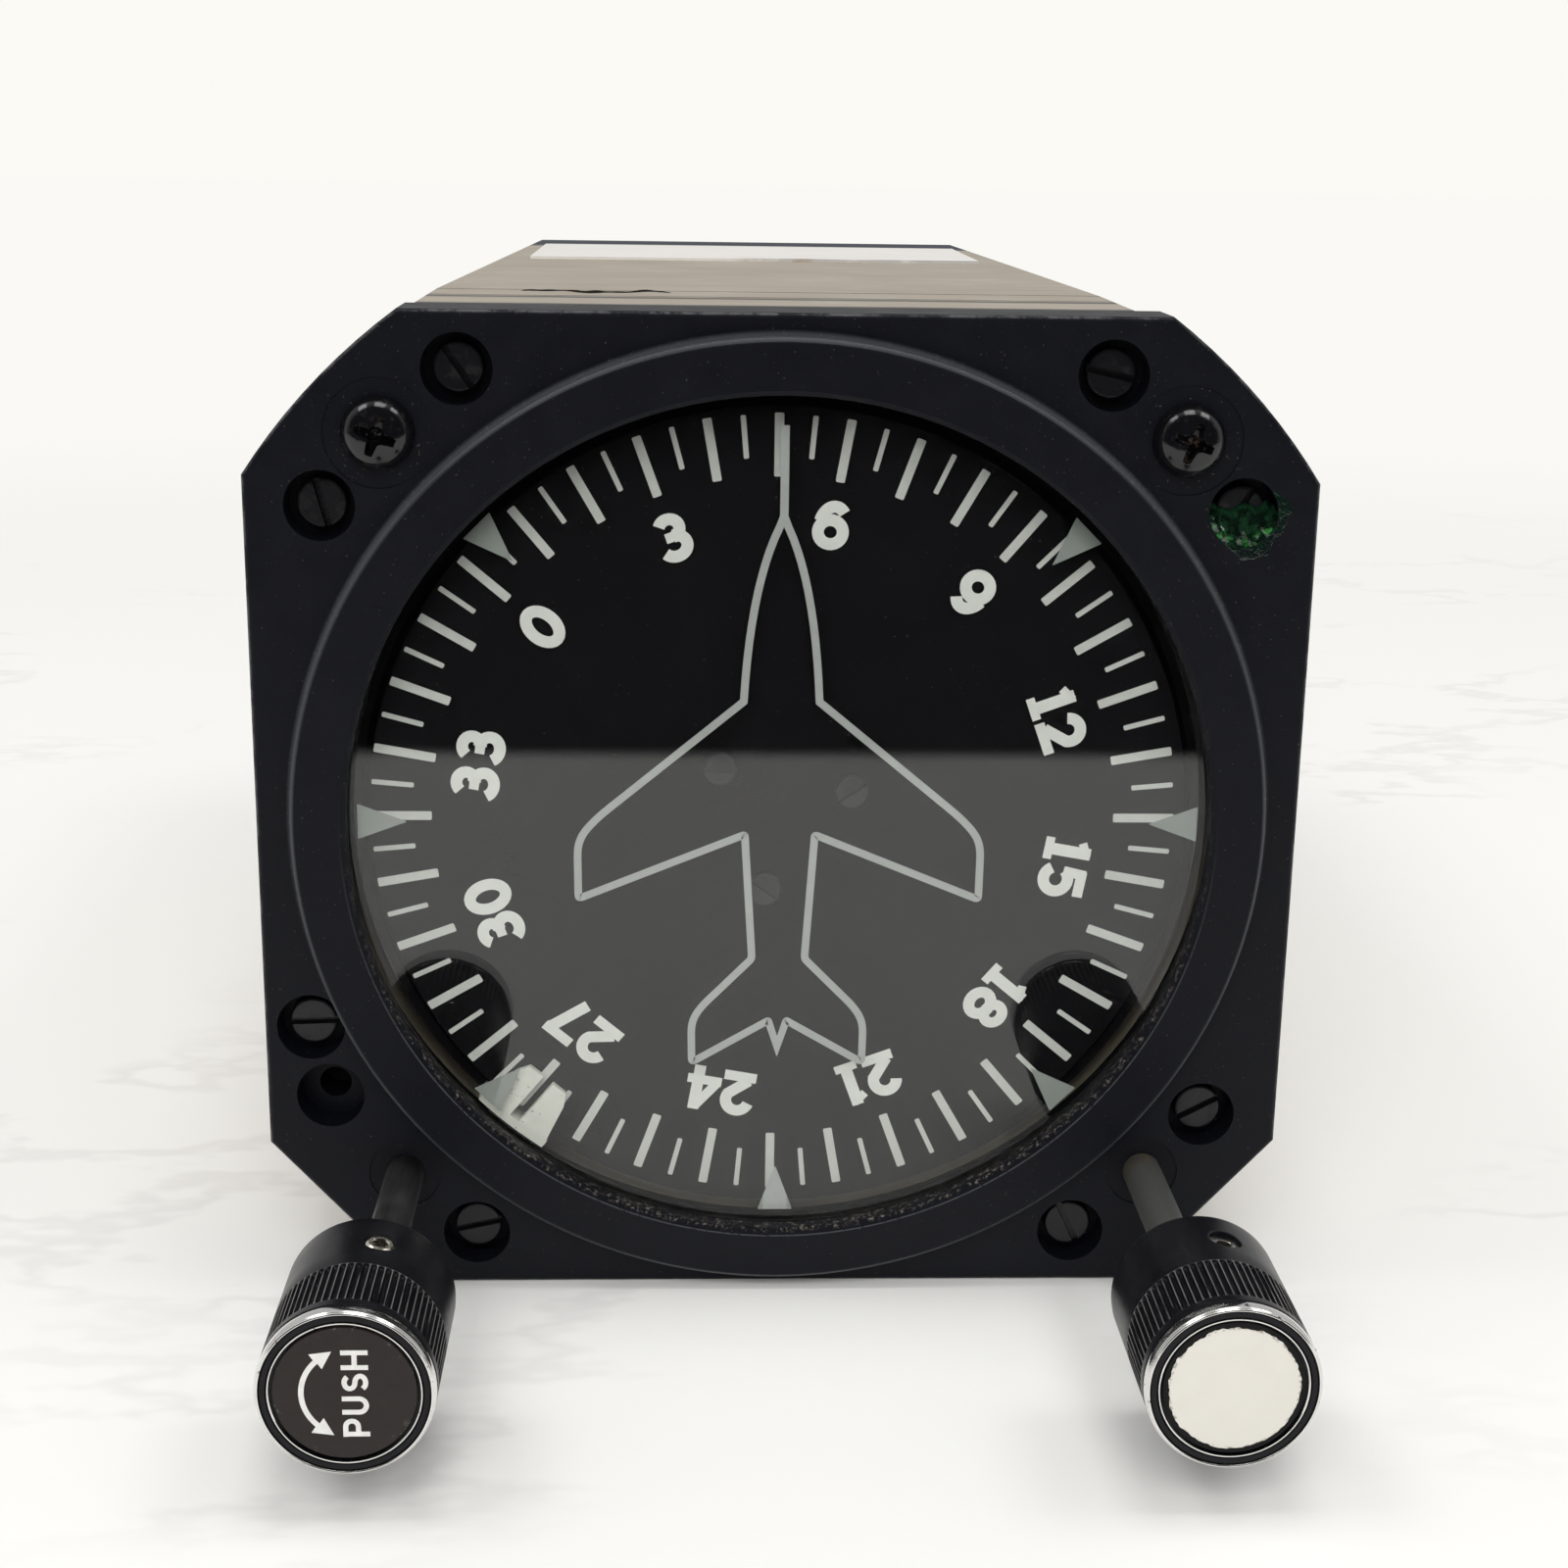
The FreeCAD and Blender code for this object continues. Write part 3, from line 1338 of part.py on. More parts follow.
def knob(side):
    """A turned knob: smooth skirt, knurled band, bright front rim and a recess for the face disc."""
    x = side * knob_x
    rear = knob_front + knob_length
    band_start = knob_front + knurl_start
    band_end = band_start + knurl_length
    skirt = revolve(
        (
            (0, band_end),
            (knob_radius - knob_edge, band_end),
            (knob_radius, band_end + knob_edge),
            (knob_radius, rear - knob_edge),
            (knob_radius - knob_edge, rear),
            (0, rear),
        ),
        x,
        knob_z,
    )
    corners = []
    for k in range(2 * knurl_teeth):
        angle = math.pi * k / knurl_teeth
        radius = knob_radius - (k % 2) * knurl_depth
        corners.append(Vector(x + radius * math.cos(angle), band_start, knob_z + radius * math.sin(angle)))
    band = Part.Face(Part.makePolygon(corners + corners[:1])).extrude(Vector(0, knurl_length, 0))
    collar = revolve(
        (
            (0, knob_front),
            (knob_radius - rim_edge, knob_front),
            (knob_radius, knob_front + rim_edge),
            (knob_radius, knob_front + rim_length - rim_edge),
            (knob_collar_radius, knob_front + rim_length),
            (knob_collar_radius, band_start),
            (0, band_start),
        ),
        x,
        knob_z,
    )
    body = joined([skirt, band, collar])
    body = body.cut(cylinder(knob_face_radius, knob_front - 1, knob_front + knob_face_recess, x, knob_z))
    body = body.cut(cylinder(shaft_radius, rear - knob_bore_depth, rear + 1, x, knob_z))
    hole = set_screw_bar(side, set_screw_radius, shaft_radius - 0.3, 2 * knob_radius)
    return body.cut(hole)


def set_screw_bar(side, radius, inner, outer):
    """A round bar that points out of the knob's skirt, a little to the right of its top."""
    turn = math.radians(set_screw_turn)
    direction = Vector(math.sin(turn), 0, math.cos(turn))
    start = Vector(side * knob_x, set_screw_y, knob_z) + direction * inner
    return Part.makeCylinder(radius, outer - inner, start, direction)


def set_screw(side):
    """A headless screw with a hexagon socket."""
    turn = math.radians(set_screw_turn)
    direction = Vector(math.sin(turn), 0, math.cos(turn))
    outer = knob_radius - set_screw_sink
    bar = set_screw_bar(side, set_screw_radius, shaft_radius, outer)
    bar = bar.cut(cylinder(shaft_radius, set_screw_y - 5, set_screw_y + 5, side * knob_x, knob_z))
    axis_point = Vector(side * knob_x, set_screw_y, knob_z)
    corners = []
    for k in range(6):
        angle = math.radians(60 * k)
        across_x = Vector(direction.z, 0, -direction.x)
        spread = across_x * (socket_radius * math.cos(angle))
        spread += Vector(0, socket_radius * math.sin(angle), 0)
        corners.append(axis_point + direction * (outer - socket_depth) + spread)
    socket = Part.Face(Part.makePolygon(corners + corners[:1])).extrude(direction * 2)
    return bar.cut(socket)


def knob_disc(side):
    start = knob_front + knob_face_recess - insert_thickness
    return cylinder(insert_radius, start, knob_front + knob_face_recess, side * knob_x, knob_z)


def save(name, shapes):
    """Writes one node; a list becomes a group of separate solids."""
    solids = []
    for shape in shapes if isinstance(shapes, list) else [shapes]:
        solids += shape.Solids
    result = solids[0] if len(solids) == 1 else Part.makeCompound(solids)
    if not result.isValid():
        print("not valid:", name)
    result.exportStep(os.path.join("parts", name + ".step"))


def main():
    os.makedirs("parts", exist_ok=True)
    save("bezel", bezel())
    save("bezel_screws", bezel_screw_set())
    save("panel_screws", panel_screw_set())
    save("cover_glass", cover_glass())
    save("glass_gasket", glass_gasket())
    save("glass_snap_ring", snap_ring())
    save("bezel_gasket", gasket_plate(flange_thickness, bezel_gasket_thickness, front_opening_radius))
    save("front_housing", front_housing())
    save("frame_gaskets", frame_gaskets())
    save("mechanism_frame", mechanism_frame())
    save("case_body", case_body())
    save("rear_gasket", rear_gasket())
    save("rear_cover", rear_cover())
    save("tie_screws", tie_screws())
    save("inlet_filter", inlet_filter())
    save("filter_cap", filter_cap())
    save("air_duct", air_duct())
    save("data_plate", data_plate())
    save("support_plate", support_plate())
    save("plate_screws", plate_screws())
    save("arbor_bearings", arbor_bearings())
    save("shaft_bushes", shaft_bushes())
    save("idler_studs", idler_studs())
    save("fork_guide_pin", fork_guide_pin())
    save("bug_retainer", bug_retainer())
    save("pivot_bearings", pivot_bearings())
    save("return_spring", return_spring())
    save("dial_card", dial_card())
    save("dial_screws", dial_screws())
    save("dial_arbor", dial_arbor())
    save("dial_set_gear", dial_set_gear())
    save("dial_bevel_gear", dial_bevel_gear())
    save("outer_gimbal", outer_gimbal())
    save("gimbal_bevel_gear", gimbal_bevel_gear())
    save("gimbal_pivots", gimbal_pivots())
    save("trunnion_bearings", trunnion_bearings())
    save("air_nozzles", air_nozzles())
    save("rotor_case", rotor_case())
    save("rotor_covers", rotor_covers())
    save("trunnions", trunnions())
    save("rotor_bearings", rotor_bearings())
    save("rotor", rotor())
    save("rotor_shaft", rotor_shaft())
    save("heading_bug", heading_bug())
    save("bug_drum", bug_drum())
    save("bug_ring_gear", bug_ring_gear())
    save("bug_idler_gear", idler_gear(1, bug_gear_start))
    save("set_idler_gear", idler_gear(-1, set_gear_start))
    save("bug_shaft", right_shaft())
    save("bug_pinion", pinion(1, bug_gear_start))
    save("bug_knob", knob(1))
    save("bug_knob_disc", knob_disc(1))
    save("bug_knob_set_screw", set_screw(1))
    save("set_shaft", left_shaft())
    save("set_pinion", pinion(-1, left_pinion_start))
    save("cage_fork", cage_fork())
    save("set_knob", knob(-1))
    save("set_knob_disc", knob_disc(-1))
    save("set_knob_set_screw", set_screw(-1))


main()
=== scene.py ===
import math

import bmesh
import bpy
import numpy as np
from mathutils import Matrix


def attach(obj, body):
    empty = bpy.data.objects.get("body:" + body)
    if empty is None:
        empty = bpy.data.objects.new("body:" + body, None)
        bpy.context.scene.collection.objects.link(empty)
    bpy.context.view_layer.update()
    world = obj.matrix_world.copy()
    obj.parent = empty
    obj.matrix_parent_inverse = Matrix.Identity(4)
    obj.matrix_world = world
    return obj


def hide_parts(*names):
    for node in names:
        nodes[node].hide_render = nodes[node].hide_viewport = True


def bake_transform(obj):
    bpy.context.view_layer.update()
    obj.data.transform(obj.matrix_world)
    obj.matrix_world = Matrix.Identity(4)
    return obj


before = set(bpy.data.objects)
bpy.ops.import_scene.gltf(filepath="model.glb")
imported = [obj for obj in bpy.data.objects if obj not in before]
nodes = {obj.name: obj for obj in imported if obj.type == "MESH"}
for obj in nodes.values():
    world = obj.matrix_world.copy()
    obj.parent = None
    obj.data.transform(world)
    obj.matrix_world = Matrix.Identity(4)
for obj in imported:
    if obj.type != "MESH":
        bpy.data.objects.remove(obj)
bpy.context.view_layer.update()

# Bezel: a casting with a square flange and a raised ring round the glass, in satin black stove enamel.
# Its upper edges are rubbed to grey, and dust lies in the corner of the ring, on its side and on the
# glass's lip. It is held to the case by eight screws in round recesses; one recess is empty.
flange_side, flange_top, flange_bottom = 42.08, 40.9, -40.2
flange_arc, flange_cut = 50.6, 49.6
cut_slope = math.radians(42.4)
ring_edge, lip_edge = 39.15, 34.75


class Wire:
    """A node's output; arithmetic on it adds Math nodes."""

    def __init__(self, finish, socket):
        self.finish = finish
        self.socket = socket

    def __add__(self, other):
        return self.finish.math("ADD", self, other)

    def __sub__(self, other):
        return self.finish.math("SUBTRACT", self, other)

    def __rsub__(self, other):
        return self.finish.math("SUBTRACT", other, self)

    def __mul__(self, other):
        return self.finish.math("MULTIPLY", self, other)

    def __abs__(self):
        return self.finish.math("ABSOLUTE", self)

    __radd__ = __add__
    __rmul__ = __mul__


class Finish:
    """A material, or a world, built from nodes. Places and distances in it are millimetres."""

    def __init__(self, name, world=None):
        self.material = world or bpy.data.materials.new(name)
        self.material.use_nodes = True
        self.tree = self.material.node_tree
        self.tree.nodes.clear()
        self.output = self.tree.nodes.new("ShaderNodeOutput" + ("World" if world else "Material"))

    def node(self, kind, settings=None, inputs=None, output=0):
        """A node of this kind: its settings, then the values or links of its sockets."""
        made = self.tree.nodes.new("ShaderNode" + kind)
        for key, value in (settings or {}).items():
            setattr(made, key, value)
        for key, value in (inputs or {}).items():
            if isinstance(value, Wire):
                self.tree.links.new(value.socket, made.inputs[key])
            else:
                made.inputs[key].default_value = value
        return Wire(self, made.outputs[output])

    def math(self, operation, *values):
        """A Math node's result for these values."""
        return self.node("Math", {"operation": operation}, dict(enumerate(values)))

    def place(self, stretch=(1.0, 1.0, 1.0)):
        """The point on the object in millimetres, stretched along the axes."""
        spot = self.node("TexCoord", output="Object")
        factor = [1000.0 * s for s in stretch]
        return self.node("VectorMath", {"operation": "MULTIPLY"}, {0: spot, 1: factor})

    def parts(self, vector, axes="xyz"):
        """The vector's coordinates along these axes."""
        return [self.node("SeparateXYZ", inputs={0: vector}, output="xyz".index(axis)) for axis in axes]

    def distance(self, u, v):
        """The distance from an axis, the root of u^2 + v^2."""
        return self.math("SQRT", u * u + v * v)

    def grain(self, place, scale, detail=2.0, rough=0.5):
        """Noise with scale cycles per millimetre, about 0.5 on average."""
        sockets = {"Vector": place, "Scale": scale, "Detail": detail, "Roughness": rough}
        return self.node("TexNoise", inputs=sockets)

    def step(self, value, start, end):
        """Rises smoothly from 0 where value is start to 1 where it is end."""
        if start > end:
            return 1.0 - self.step(value, end, start)
        sockets = {"Value": value, "From Min": start, "From Max": end}
        return self.node("MapRange", {"interpolation_type": "SMOOTHSTEP"}, sockets)

    def near(self, value, middle, reach):
        """1 where value is middle, falling smoothly to 0 at this reach on both sides."""
        return self.step(abs(value - middle), reach, 0.0)

    def mix(self, factor, first, second):
        """A colour between two colours."""
        pair = [c if isinstance(c, Wire) else (*c, 1.0) for c in (first, second)]
        return self.node("Mix", {"data_type": "RGBA"}, {0: factor, 6: pair[0], 7: pair[1]}, 2)

    def shade(self, inputs, height=None, depth=0.05):
        """The surface shader; height times depth in millimetres gives its relief."""
        if height is not None:
            sockets = {"Strength": 1.0, "Distance": depth * 0.001, "Height": height}
            inputs = {**inputs, "Normal": self.node("Bump", inputs=sockets)}
        return self.show(self.node("BsdfPrincipled", inputs=inputs))

    def show(self, shader):
        """Links a shader to the output."""
        self.tree.links.new(shader.socket, self.output.inputs[0])
        return shader

    def rays(self, *kinds):
        """Masks that are 1 for rays of these kinds."""
        return [self.node("LightPath", output=f"Is {kind} Ray") for kind in kinds]


def cover(material, *names):
    """Gives a material to nodes of the solid model."""
    for name in names:
        for slot in nodes[name].material_slots:
            slot.material = material


enamel = Finish("black_enamel")
spot = enamel.place()
x, y, z = enamel.parts(spot)
radius = enamel.distance(x, z)

# How far a point lies outside the flange's outline, whose arcs round only the upper corners.
upper_arc = radius - flange_arc - 40.0 * enamel.step(z, 12.0, -2.0)
cut = abs(x) * math.cos(cut_slope) - z * math.sin(cut_slope)
edge = abs(x) - flange_side
for margin in (z - flange_top, flange_bottom - z, upper_arc, cut - flange_cut):
    edge = enamel.math("MAXIMUM", edge, margin)

patches = enamel.grain(spot, 0.35, 4.0)
pits = enamel.grain(spot, 3.2, 3.0)
specks = enamel.step(enamel.grain(spot, 3.4, 2.0), 0.66, 0.74)
motes = enamel.step(enamel.grain(spot, 5.0, 0.0), 0.79, 0.82)
crumbs = enamel.step(enamel.grain(spot, 2.4, 5.0, 0.75), 0.52, 0.62)
rubbed = enamel.step(edge, -0.3, -0.1) * enamel.step(y, 0.5, 0.2)
rubbed = rubbed * enamel.step(enamel.grain(spot, 0.35, 6.0, 0.75), 0.44, 0.6)
ring_side = enamel.near(radius, ring_edge + 0.05, 0.5) * enamel.step(y, 0.25, 0.0)
corner = enamel.near(radius, ring_edge + 0.12, 0.55) * enamel.near(y, 0.0, 0.5)
lip = enamel.step(radius, lip_edge + 0.35, lip_edge) * enamel.step(y, 0.4, 0.0)
low = enamel.step(z, 4.0, -26.0)
dust = ring_side * specks * 0.5 + corner * crumbs * 0.16 * enamel.step(patches, 0.35, 0.6)
dust = dust + lip * crumbs * low * 0.8 + motes * 0.2
dust = enamel.math("MINIMUM", dust, 1.0)
# Painted light: the ring's side is painted lighter all round, a painted highlight for the light from above,
# and a thin line on the lower lip, broken by crumbs, is a painted reflection.
painted_light = ring_side + enamel.near(radius, lip_edge + 0.5, 0.1) * low * enamel.step(crumbs, 1.0, 0.4)
tone = enamel.mix(patches, (0.0042, 0.0046, 0.0072), (0.0072, 0.0077, 0.0108))
tone = enamel.mix(rubbed * 0.55, tone, (0.13, 0.13, 0.135))
tone = enamel.mix(painted_light * 0.5, tone, (0.12, 0.125, 0.135))
tone = enamel.mix(dust, tone, (0.21, 0.185, 0.155))
shine = 0.36 + 0.16 * patches + 0.3 * dust - 0.08 * rubbed
enamel.shade(
    {"Base Color": tone, "Roughness": shine, "Specular IOR Level": 0.15},
    pits * 0.5 + dust * 0.8,
    0.02,
)
cover(enamel.material, "bezel")


# Bezel screws: black-oxide steel cheese heads with a driver slot, slightly domed, each at the bottom
# of its recess and turned another way. The black has worn a little bright in patches.
bezel_screw_bearings = (124.8, 144.447, 55.2, 35.553, 204.183, 234.814, 324.997, 305.186)
bezel_screw_distances = (44.33, 44.372, 44.33, 44.372, 41.985, 43.559, 43.583, 43.559)
bezel_slot_turns = (-55.0, -75.0, -13.0, 62.0, 2.0, 12.0, 28.0, -65.0)


def piece(name, grids, body, material, crease=35.0):
    """A piece made of grids of points in millimetres.

    A grid is (points, rows closed, columns closed); quads join neighbouring rows and columns. Points that
    meet are merged, which closes poles and seams, and faces are turned outwards. Edges sharper than crease
    degrees stay sharp. Where body is None, the piece is not tied to a body.
    """
    points, quads, start = [], [], 0
    for grid, rows_closed, columns_closed in grids:
        rows, columns = grid.shape[:2]
        index = start + np.arange(rows * columns).reshape(rows, columns)
        if rows_closed:
            index = np.vstack([index, index[:1]])
        if columns_closed:
            index = np.hstack([index, index[:, :1]])
        corners = (index[:-1, :-1], index[1:, :-1], index[1:, 1:], index[:-1, 1:])
        quads.append(np.stack(corners, -1).reshape(-1, 4))
        points.append(grid.reshape(-1, 3))
        start += rows * columns
    mesh = bpy.data.meshes.new(name)
    mesh.from_pydata((np.vstack(points) * 0.001).tolist(), [], np.vstack(quads).tolist())
    work = bmesh.new()
    work.from_mesh(mesh)
    bmesh.ops.remove_doubles(work, verts=work.verts, dist=1e-6)
    bmesh.ops.dissolve_degenerate(work, edges=work.edges, dist=1e-7)
    bmesh.ops.recalc_face_normals(work, faces=work.faces)
    work.to_mesh(mesh)
    work.free()
    mesh.shade_smooth()
    mesh.set_sharp_from_angle(angle=math.radians(crease))
    made = bpy.data.objects.new(name, mesh)
    bpy.context.scene.collection.objects.link(made)
    mesh.materials.append(material)
    if body:
        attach(made, body)
    return made


def turned(profile, at=(0.0, 0.0), count=64, closed=False):
    """A turned surface: each (radius, y) pair is carried round the axis through at = (x, z)."""
    radii, depths = np.asarray(profile, float).T
    turn = np.arange(count) * 2 * math.pi / count
    grid = np.empty((len(radii), count, 3))
    grid[..., 0] = at[0] + radii[:, None] * np.cos(turn)
    grid[..., 1] = depths[:, None]
    grid[..., 2] = at[1] + radii[:, None] * np.sin(turn)
    return grid, closed, True


def polar(distance, bearing):
    """The (x, z) at this distance from the middle, with the bearing in degrees from the x axis."""
    way = math.radians(bearing)
    return distance * math.cos(way), distance * math.sin(way)


def slotted_head(at, turn, front, radius, height, slot, depth, dome=0.12, edge=0.18):
    """A slotted head. Rows are the chords of its circle that run along the slot, columns a chord's points.

    The face rises from the edge as 1 - (r / radius)^2 times dome, its last bit before the edge falls as a
    quarter circle, and the rows between the slot's sides are sunk by depth.
    """
    half = slot / 2
    side = -radius * np.cos(np.linspace(0.0, math.acos(half / radius), 11))
    across = np.concatenate([side, [-half, half], -side[::-1]])
    sunk = np.zeros(len(across))
    sunk[11:13] = depth
    along = np.sin(np.linspace(-math.pi / 2, math.pi / 2, 25))
    u = along[None, :] * np.sqrt(np.maximum(radius**2 - across**2, 0.0))[:, None]
    v = np.repeat(across[:, None], 25, 1)
    out = np.hypot(u, v) / radius
    fall = np.clip((out * radius - radius + edge) / edge, 0.0, 1.0)
    rise = dome * (1 - out**2) - edge * (1 - np.sqrt(1 - fall**2))
    rise = np.where(sunk[:, None] > 0, -sunk[:, None], rise)
    c, s = math.cos(math.radians(turn)), math.sin(math.radians(turn))

    def laid(u, v, y):
        return np.stack([at[0] + u * c - v * s, y, at[1] + u * s + v * c], -1)

    face = laid(u, v, front - rise)
    base = laid(u, v, np.full(u.shape, front + height))
    first = np.stack([face[:, 0], base[:, 0]], 1)
    last = np.stack([face[:, -1], base[:, -1]], 1)
    return [(grid, False, False) for grid in (face, base, first, last)]


oxide = Finish("black_oxide_steel")
spot = oxide.place()
(y,) = oxide.parts(spot, "y")
worn = oxide.step(oxide.grain(spot, 1.1, 4.0), 0.52, 0.72)
tone = oxide.mix(worn, (0.0045, 0.0047, 0.0065), (0.020, 0.020, 0.021))
# Painted shade: the slot's floor, and the head's side at the same depth, are painted darker.
slot_floor_shade = oxide.step(y, 1.9, 2.3) * oxide.step(y, 3.2, 2.6)
tone = oxide.mix(slot_floor_shade, tone, (0.004, 0.004, 0.004))
oxide.shade(
    {"Base Color": tone, "Metallic": 0.05 + 0.4 * worn, "Roughness": 0.34 + 0.1 * worn},
    oxide.grain(spot, 5.0, 3.0),
    0.015,
)
heads = []
bezel_shank = [(0, 3.0), (1.25, 3.0), (1.25, 10.6), (1.0, 10.9), (0, 10.9)]
for bearing, distance, turn in zip(bezel_screw_bearings, bezel_screw_distances, bezel_slot_turns):
    at = polar(distance, bearing)
    heads += slotted_head(at, turn, front=1.5, radius=1.95, height=1.5, slot=0.55, depth=0.6, dome=0.0)
    heads.append(turned(bezel_shank, at, 24))
bezel_screws = piece("bezel_screw_heads", heads, "case", oxide.material)
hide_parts("bezel_screws")


# Sealing paint: clear green lacquer poured into the lower half of one recess so that the screw can't
# work loose. It has run over the recess's edge as a thin dark film.
seal_at = polar(bezel_screw_distances[3], bezel_screw_bearings[3])
seal_radius = 2.74


def closed_sheet(front, back):
    """A sheet's front and back and the four edges between them."""
    ends = [np.stack([front[k], back[k]], 0) for k in (0, -1)]
    sides = [np.stack([front[:, k], back[:, k]], 0) for k in (0, -1)]
    return [(grid, False, False) for grid in [front, back] + ends + sides]


def lacquer_fill():
    """The fill. Rows run across the recess, from its lower rim up to a wavy line; columns go up.

    Its face stands at the rim's level below and falls to the screw's head at the wavy line, with ripples.
    """
    t = np.linspace(-0.995, 0.995, 61)[:, None]
    s = np.linspace(0.0, 1.0, 29)[None, :]
    u = seal_radius * t * np.ones_like(s)
    low = -seal_radius * np.sqrt(1 - t**2)
    high = 0.35 + 0.28 * np.sin(2.3 * t * seal_radius + 0.6) + 0.75 * np.exp(-(((t - 0.72) / 0.16) ** 2))
    high = np.minimum(high, seal_radius * np.sqrt(1 - t**2))
    v = low + (high - low) * s
    ripple = 0.11 * np.sin(3.1 * u + 1.7 * v) + 0.1 * np.sin(2.3 * v - 5.0 * u + 1.0)
    ripple = ripple + 0.05 * np.sin(7 * u + 6 * v)
    y = 0.12 + 1.3 * s**2.2 + ripple * (0.3 + s) * (1 - s) * 2.2
    front = np.stack([seal_at[0] + u, y, seal_at[1] + v], -1)
    back = front.copy()
    back[..., 1] = np.maximum(y + 0.12, 1.42)
    return closed_sheet(front, back)


def lacquer_run():
    """The film on the flange. Rows go round the recess's lower right, columns outwards to a wavy edge.

    Its height falls from the recess's edge to its own as a quarter circle.
    """
    turn = np.radians(np.linspace(-122.0, 42.0, 91))[:, None]
    s = np.linspace(0.0, 1.0, 9)[None, :]
    swell = np.sin(np.linspace(0.0, math.pi, 91))[:, None] ** 0.6
    waves = 0.95 + 0.35 * np.sin(4.1 * turn + 0.8) + 0.16 * np.sin(11 * turn) + 0.08 * np.sin(23 * turn)
    r = seal_radius - 0.03 + s * np.maximum(swell * waves, 0.0)
    y = -0.035 * np.sqrt(np.maximum(1 - s**2, 0.0)) * swell - 0.004
    front = np.stack([seal_at[0] + r * np.cos(turn), y, seal_at[1] + r * np.sin(turn)], -1)
    back = front.copy()
    back[..., 1] = 0.005
    return closed_sheet(front, back)


lacquer = Finish("green_lacquer")
spot = lacquer.place()
x, y, z = lacquer.parts(spot)
height = z - seal_at[1]
reach = lacquer.distance(x - seal_at[0], height)
thick = lacquer.grain(spot, 1.3, 3.0)
film = lacquer.step(y, 0.02, -0.003)
rim = lacquer.step(height, -0.6, -1.6) * lacquer.near(reach, 2.5, 0.7) * (1.0 - film)
tone = lacquer.mix(lacquer.step(thick, 0.4, 0.62), (0.002, 0.009, 0.005), (0.006, 0.030, 0.012))
# Painted highlight: the fill's lower rim is painted bright green in patches, as glints.
painted_glint = lacquer.step(lacquer.grain(spot, 1.9, 4.0), 0.48, 0.62)
tone = lacquer.mix(rim * painted_glint, tone, (0.035, 0.19, 0.04))
tone = lacquer.mix(film * 0.85, tone, (0.004, 0.016, 0.010))
solid = lacquer.math("MINIMUM", 0.35 + 0.5 * lacquer.step(thick, 0.42, 0.6) + rim, 1.0)
lacquer.shade(
    {
        "Base Color": tone,
        "Roughness": 0.07 + 0.15 * thick,
        "Coat Weight": 0.8,
        "Coat Roughness": 0.03,
        "Alpha": solid,
    },
    lacquer.grain(spot, 2.2, 2.0),
    0.12,
)
piece("seal_lacquer", lacquer_fill(), "case", lacquer.material, crease=60.0)
piece("seal_lacquer_run", lacquer_run(), "case", lacquer.material, crease=60.0)


# Panel screws: two 6-32 pan heads, glossy black, with a cross recess that has some brass-brown wear.
# They stand in the upper corners, where they would clamp the flange to the panel.
panel_screw_place = 31.4348
pan_radius, pan_height, pan_seat, pan_turn = 2.9, 2.3, 0.12, -20.0
cross_half, cross_reach, cross_depth = 0.5, 1.62, 1.3


def pan_head(at):
    """A pan head. Rows are radii from the middle to the seat, columns go round it.

    Its face is a dome, height times (1 - (r / radius)^2.2)^0.5. The cross is two bars at right angles whose
    depth falls from the middle to their ends and whose sides slope in, with a round pit in the middle.
    """
    rows = np.concatenate([np.linspace(0.0, 0.62, 60), np.linspace(0.635, 1.0, 26)])[:, None]
    way = (np.arange(176) * 2 * math.pi / 176)[None, :]
    r = pan_radius * np.sin(rows * math.pi / 2)
    u, v = r * np.cos(way), r * np.sin(way)
    face = pan_height * np.clip(1 - (r / pan_radius) ** 2.2, 0.0, 1.0) ** 0.5 + 0 * way
    c, s = math.cos(math.radians(pan_turn)), math.sin(math.radians(pan_turn))
    p, q = u * c + v * s, v * c - u * s
    sunk = np.clip((0.74 - np.hypot(p, q)) / 0.16, 0.0, 1.0) * 1.2
    for a, b in ((np.abs(p), np.abs(q)), (np.abs(q), np.abs(p))):
        side = np.clip((cross_half - 0.13 * a - b) / 0.12, 0.0, 1.0)
        end = np.clip((cross_reach - a) / 0.3, 0.0, 1.0)
        sunk = np.maximum(sunk, side * end * (cross_depth - 0.4 * a))
    grid = np.stack([at[0] + u, pan_seat - face + sunk, at[1] + v], -1)
    return grid, False, True


pan = Finish("black_screw")
spot = pan.place()
x, y, z = pan.parts(spot)
wear = pan.step(pan.grain(spot, 1.6, 4.0), 0.55, 0.7)
reach = pan.distance(abs(x) - panel_screw_place, z - panel_screw_place)
deep = pan.step(y, -1.9, -1.2) * pan.step(reach, 1.7, 1.4)
tone = pan.mix(wear, (0.004, 0.004, 0.005), (0.011, 0.011, 0.012))
tone = pan.mix(deep * wear, tone, (0.06, 0.038, 0.022))
pan.shade(
    {"Base Color": tone, "Metallic": 0.5 * deep, "Roughness": 0.13 + 0.14 * wear},
    pan.grain(spot, 2.5, 3.0),
    0.01,
)
heads = []
panel_shank = [(pan_radius, pan_seat), (1.7, pan_seat), (1.7, 9.3), (1.4, 9.6), (0, 9.6)]
for side in (-1, 1):
    at = (side * panel_screw_place, panel_screw_place)
    heads += [pan_head(at), turned(panel_shank, at, 176)]
panel_screws = piece("panel_screw_heads", heads, "case", pan.material, crease=40.0)
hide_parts("panel_screws")


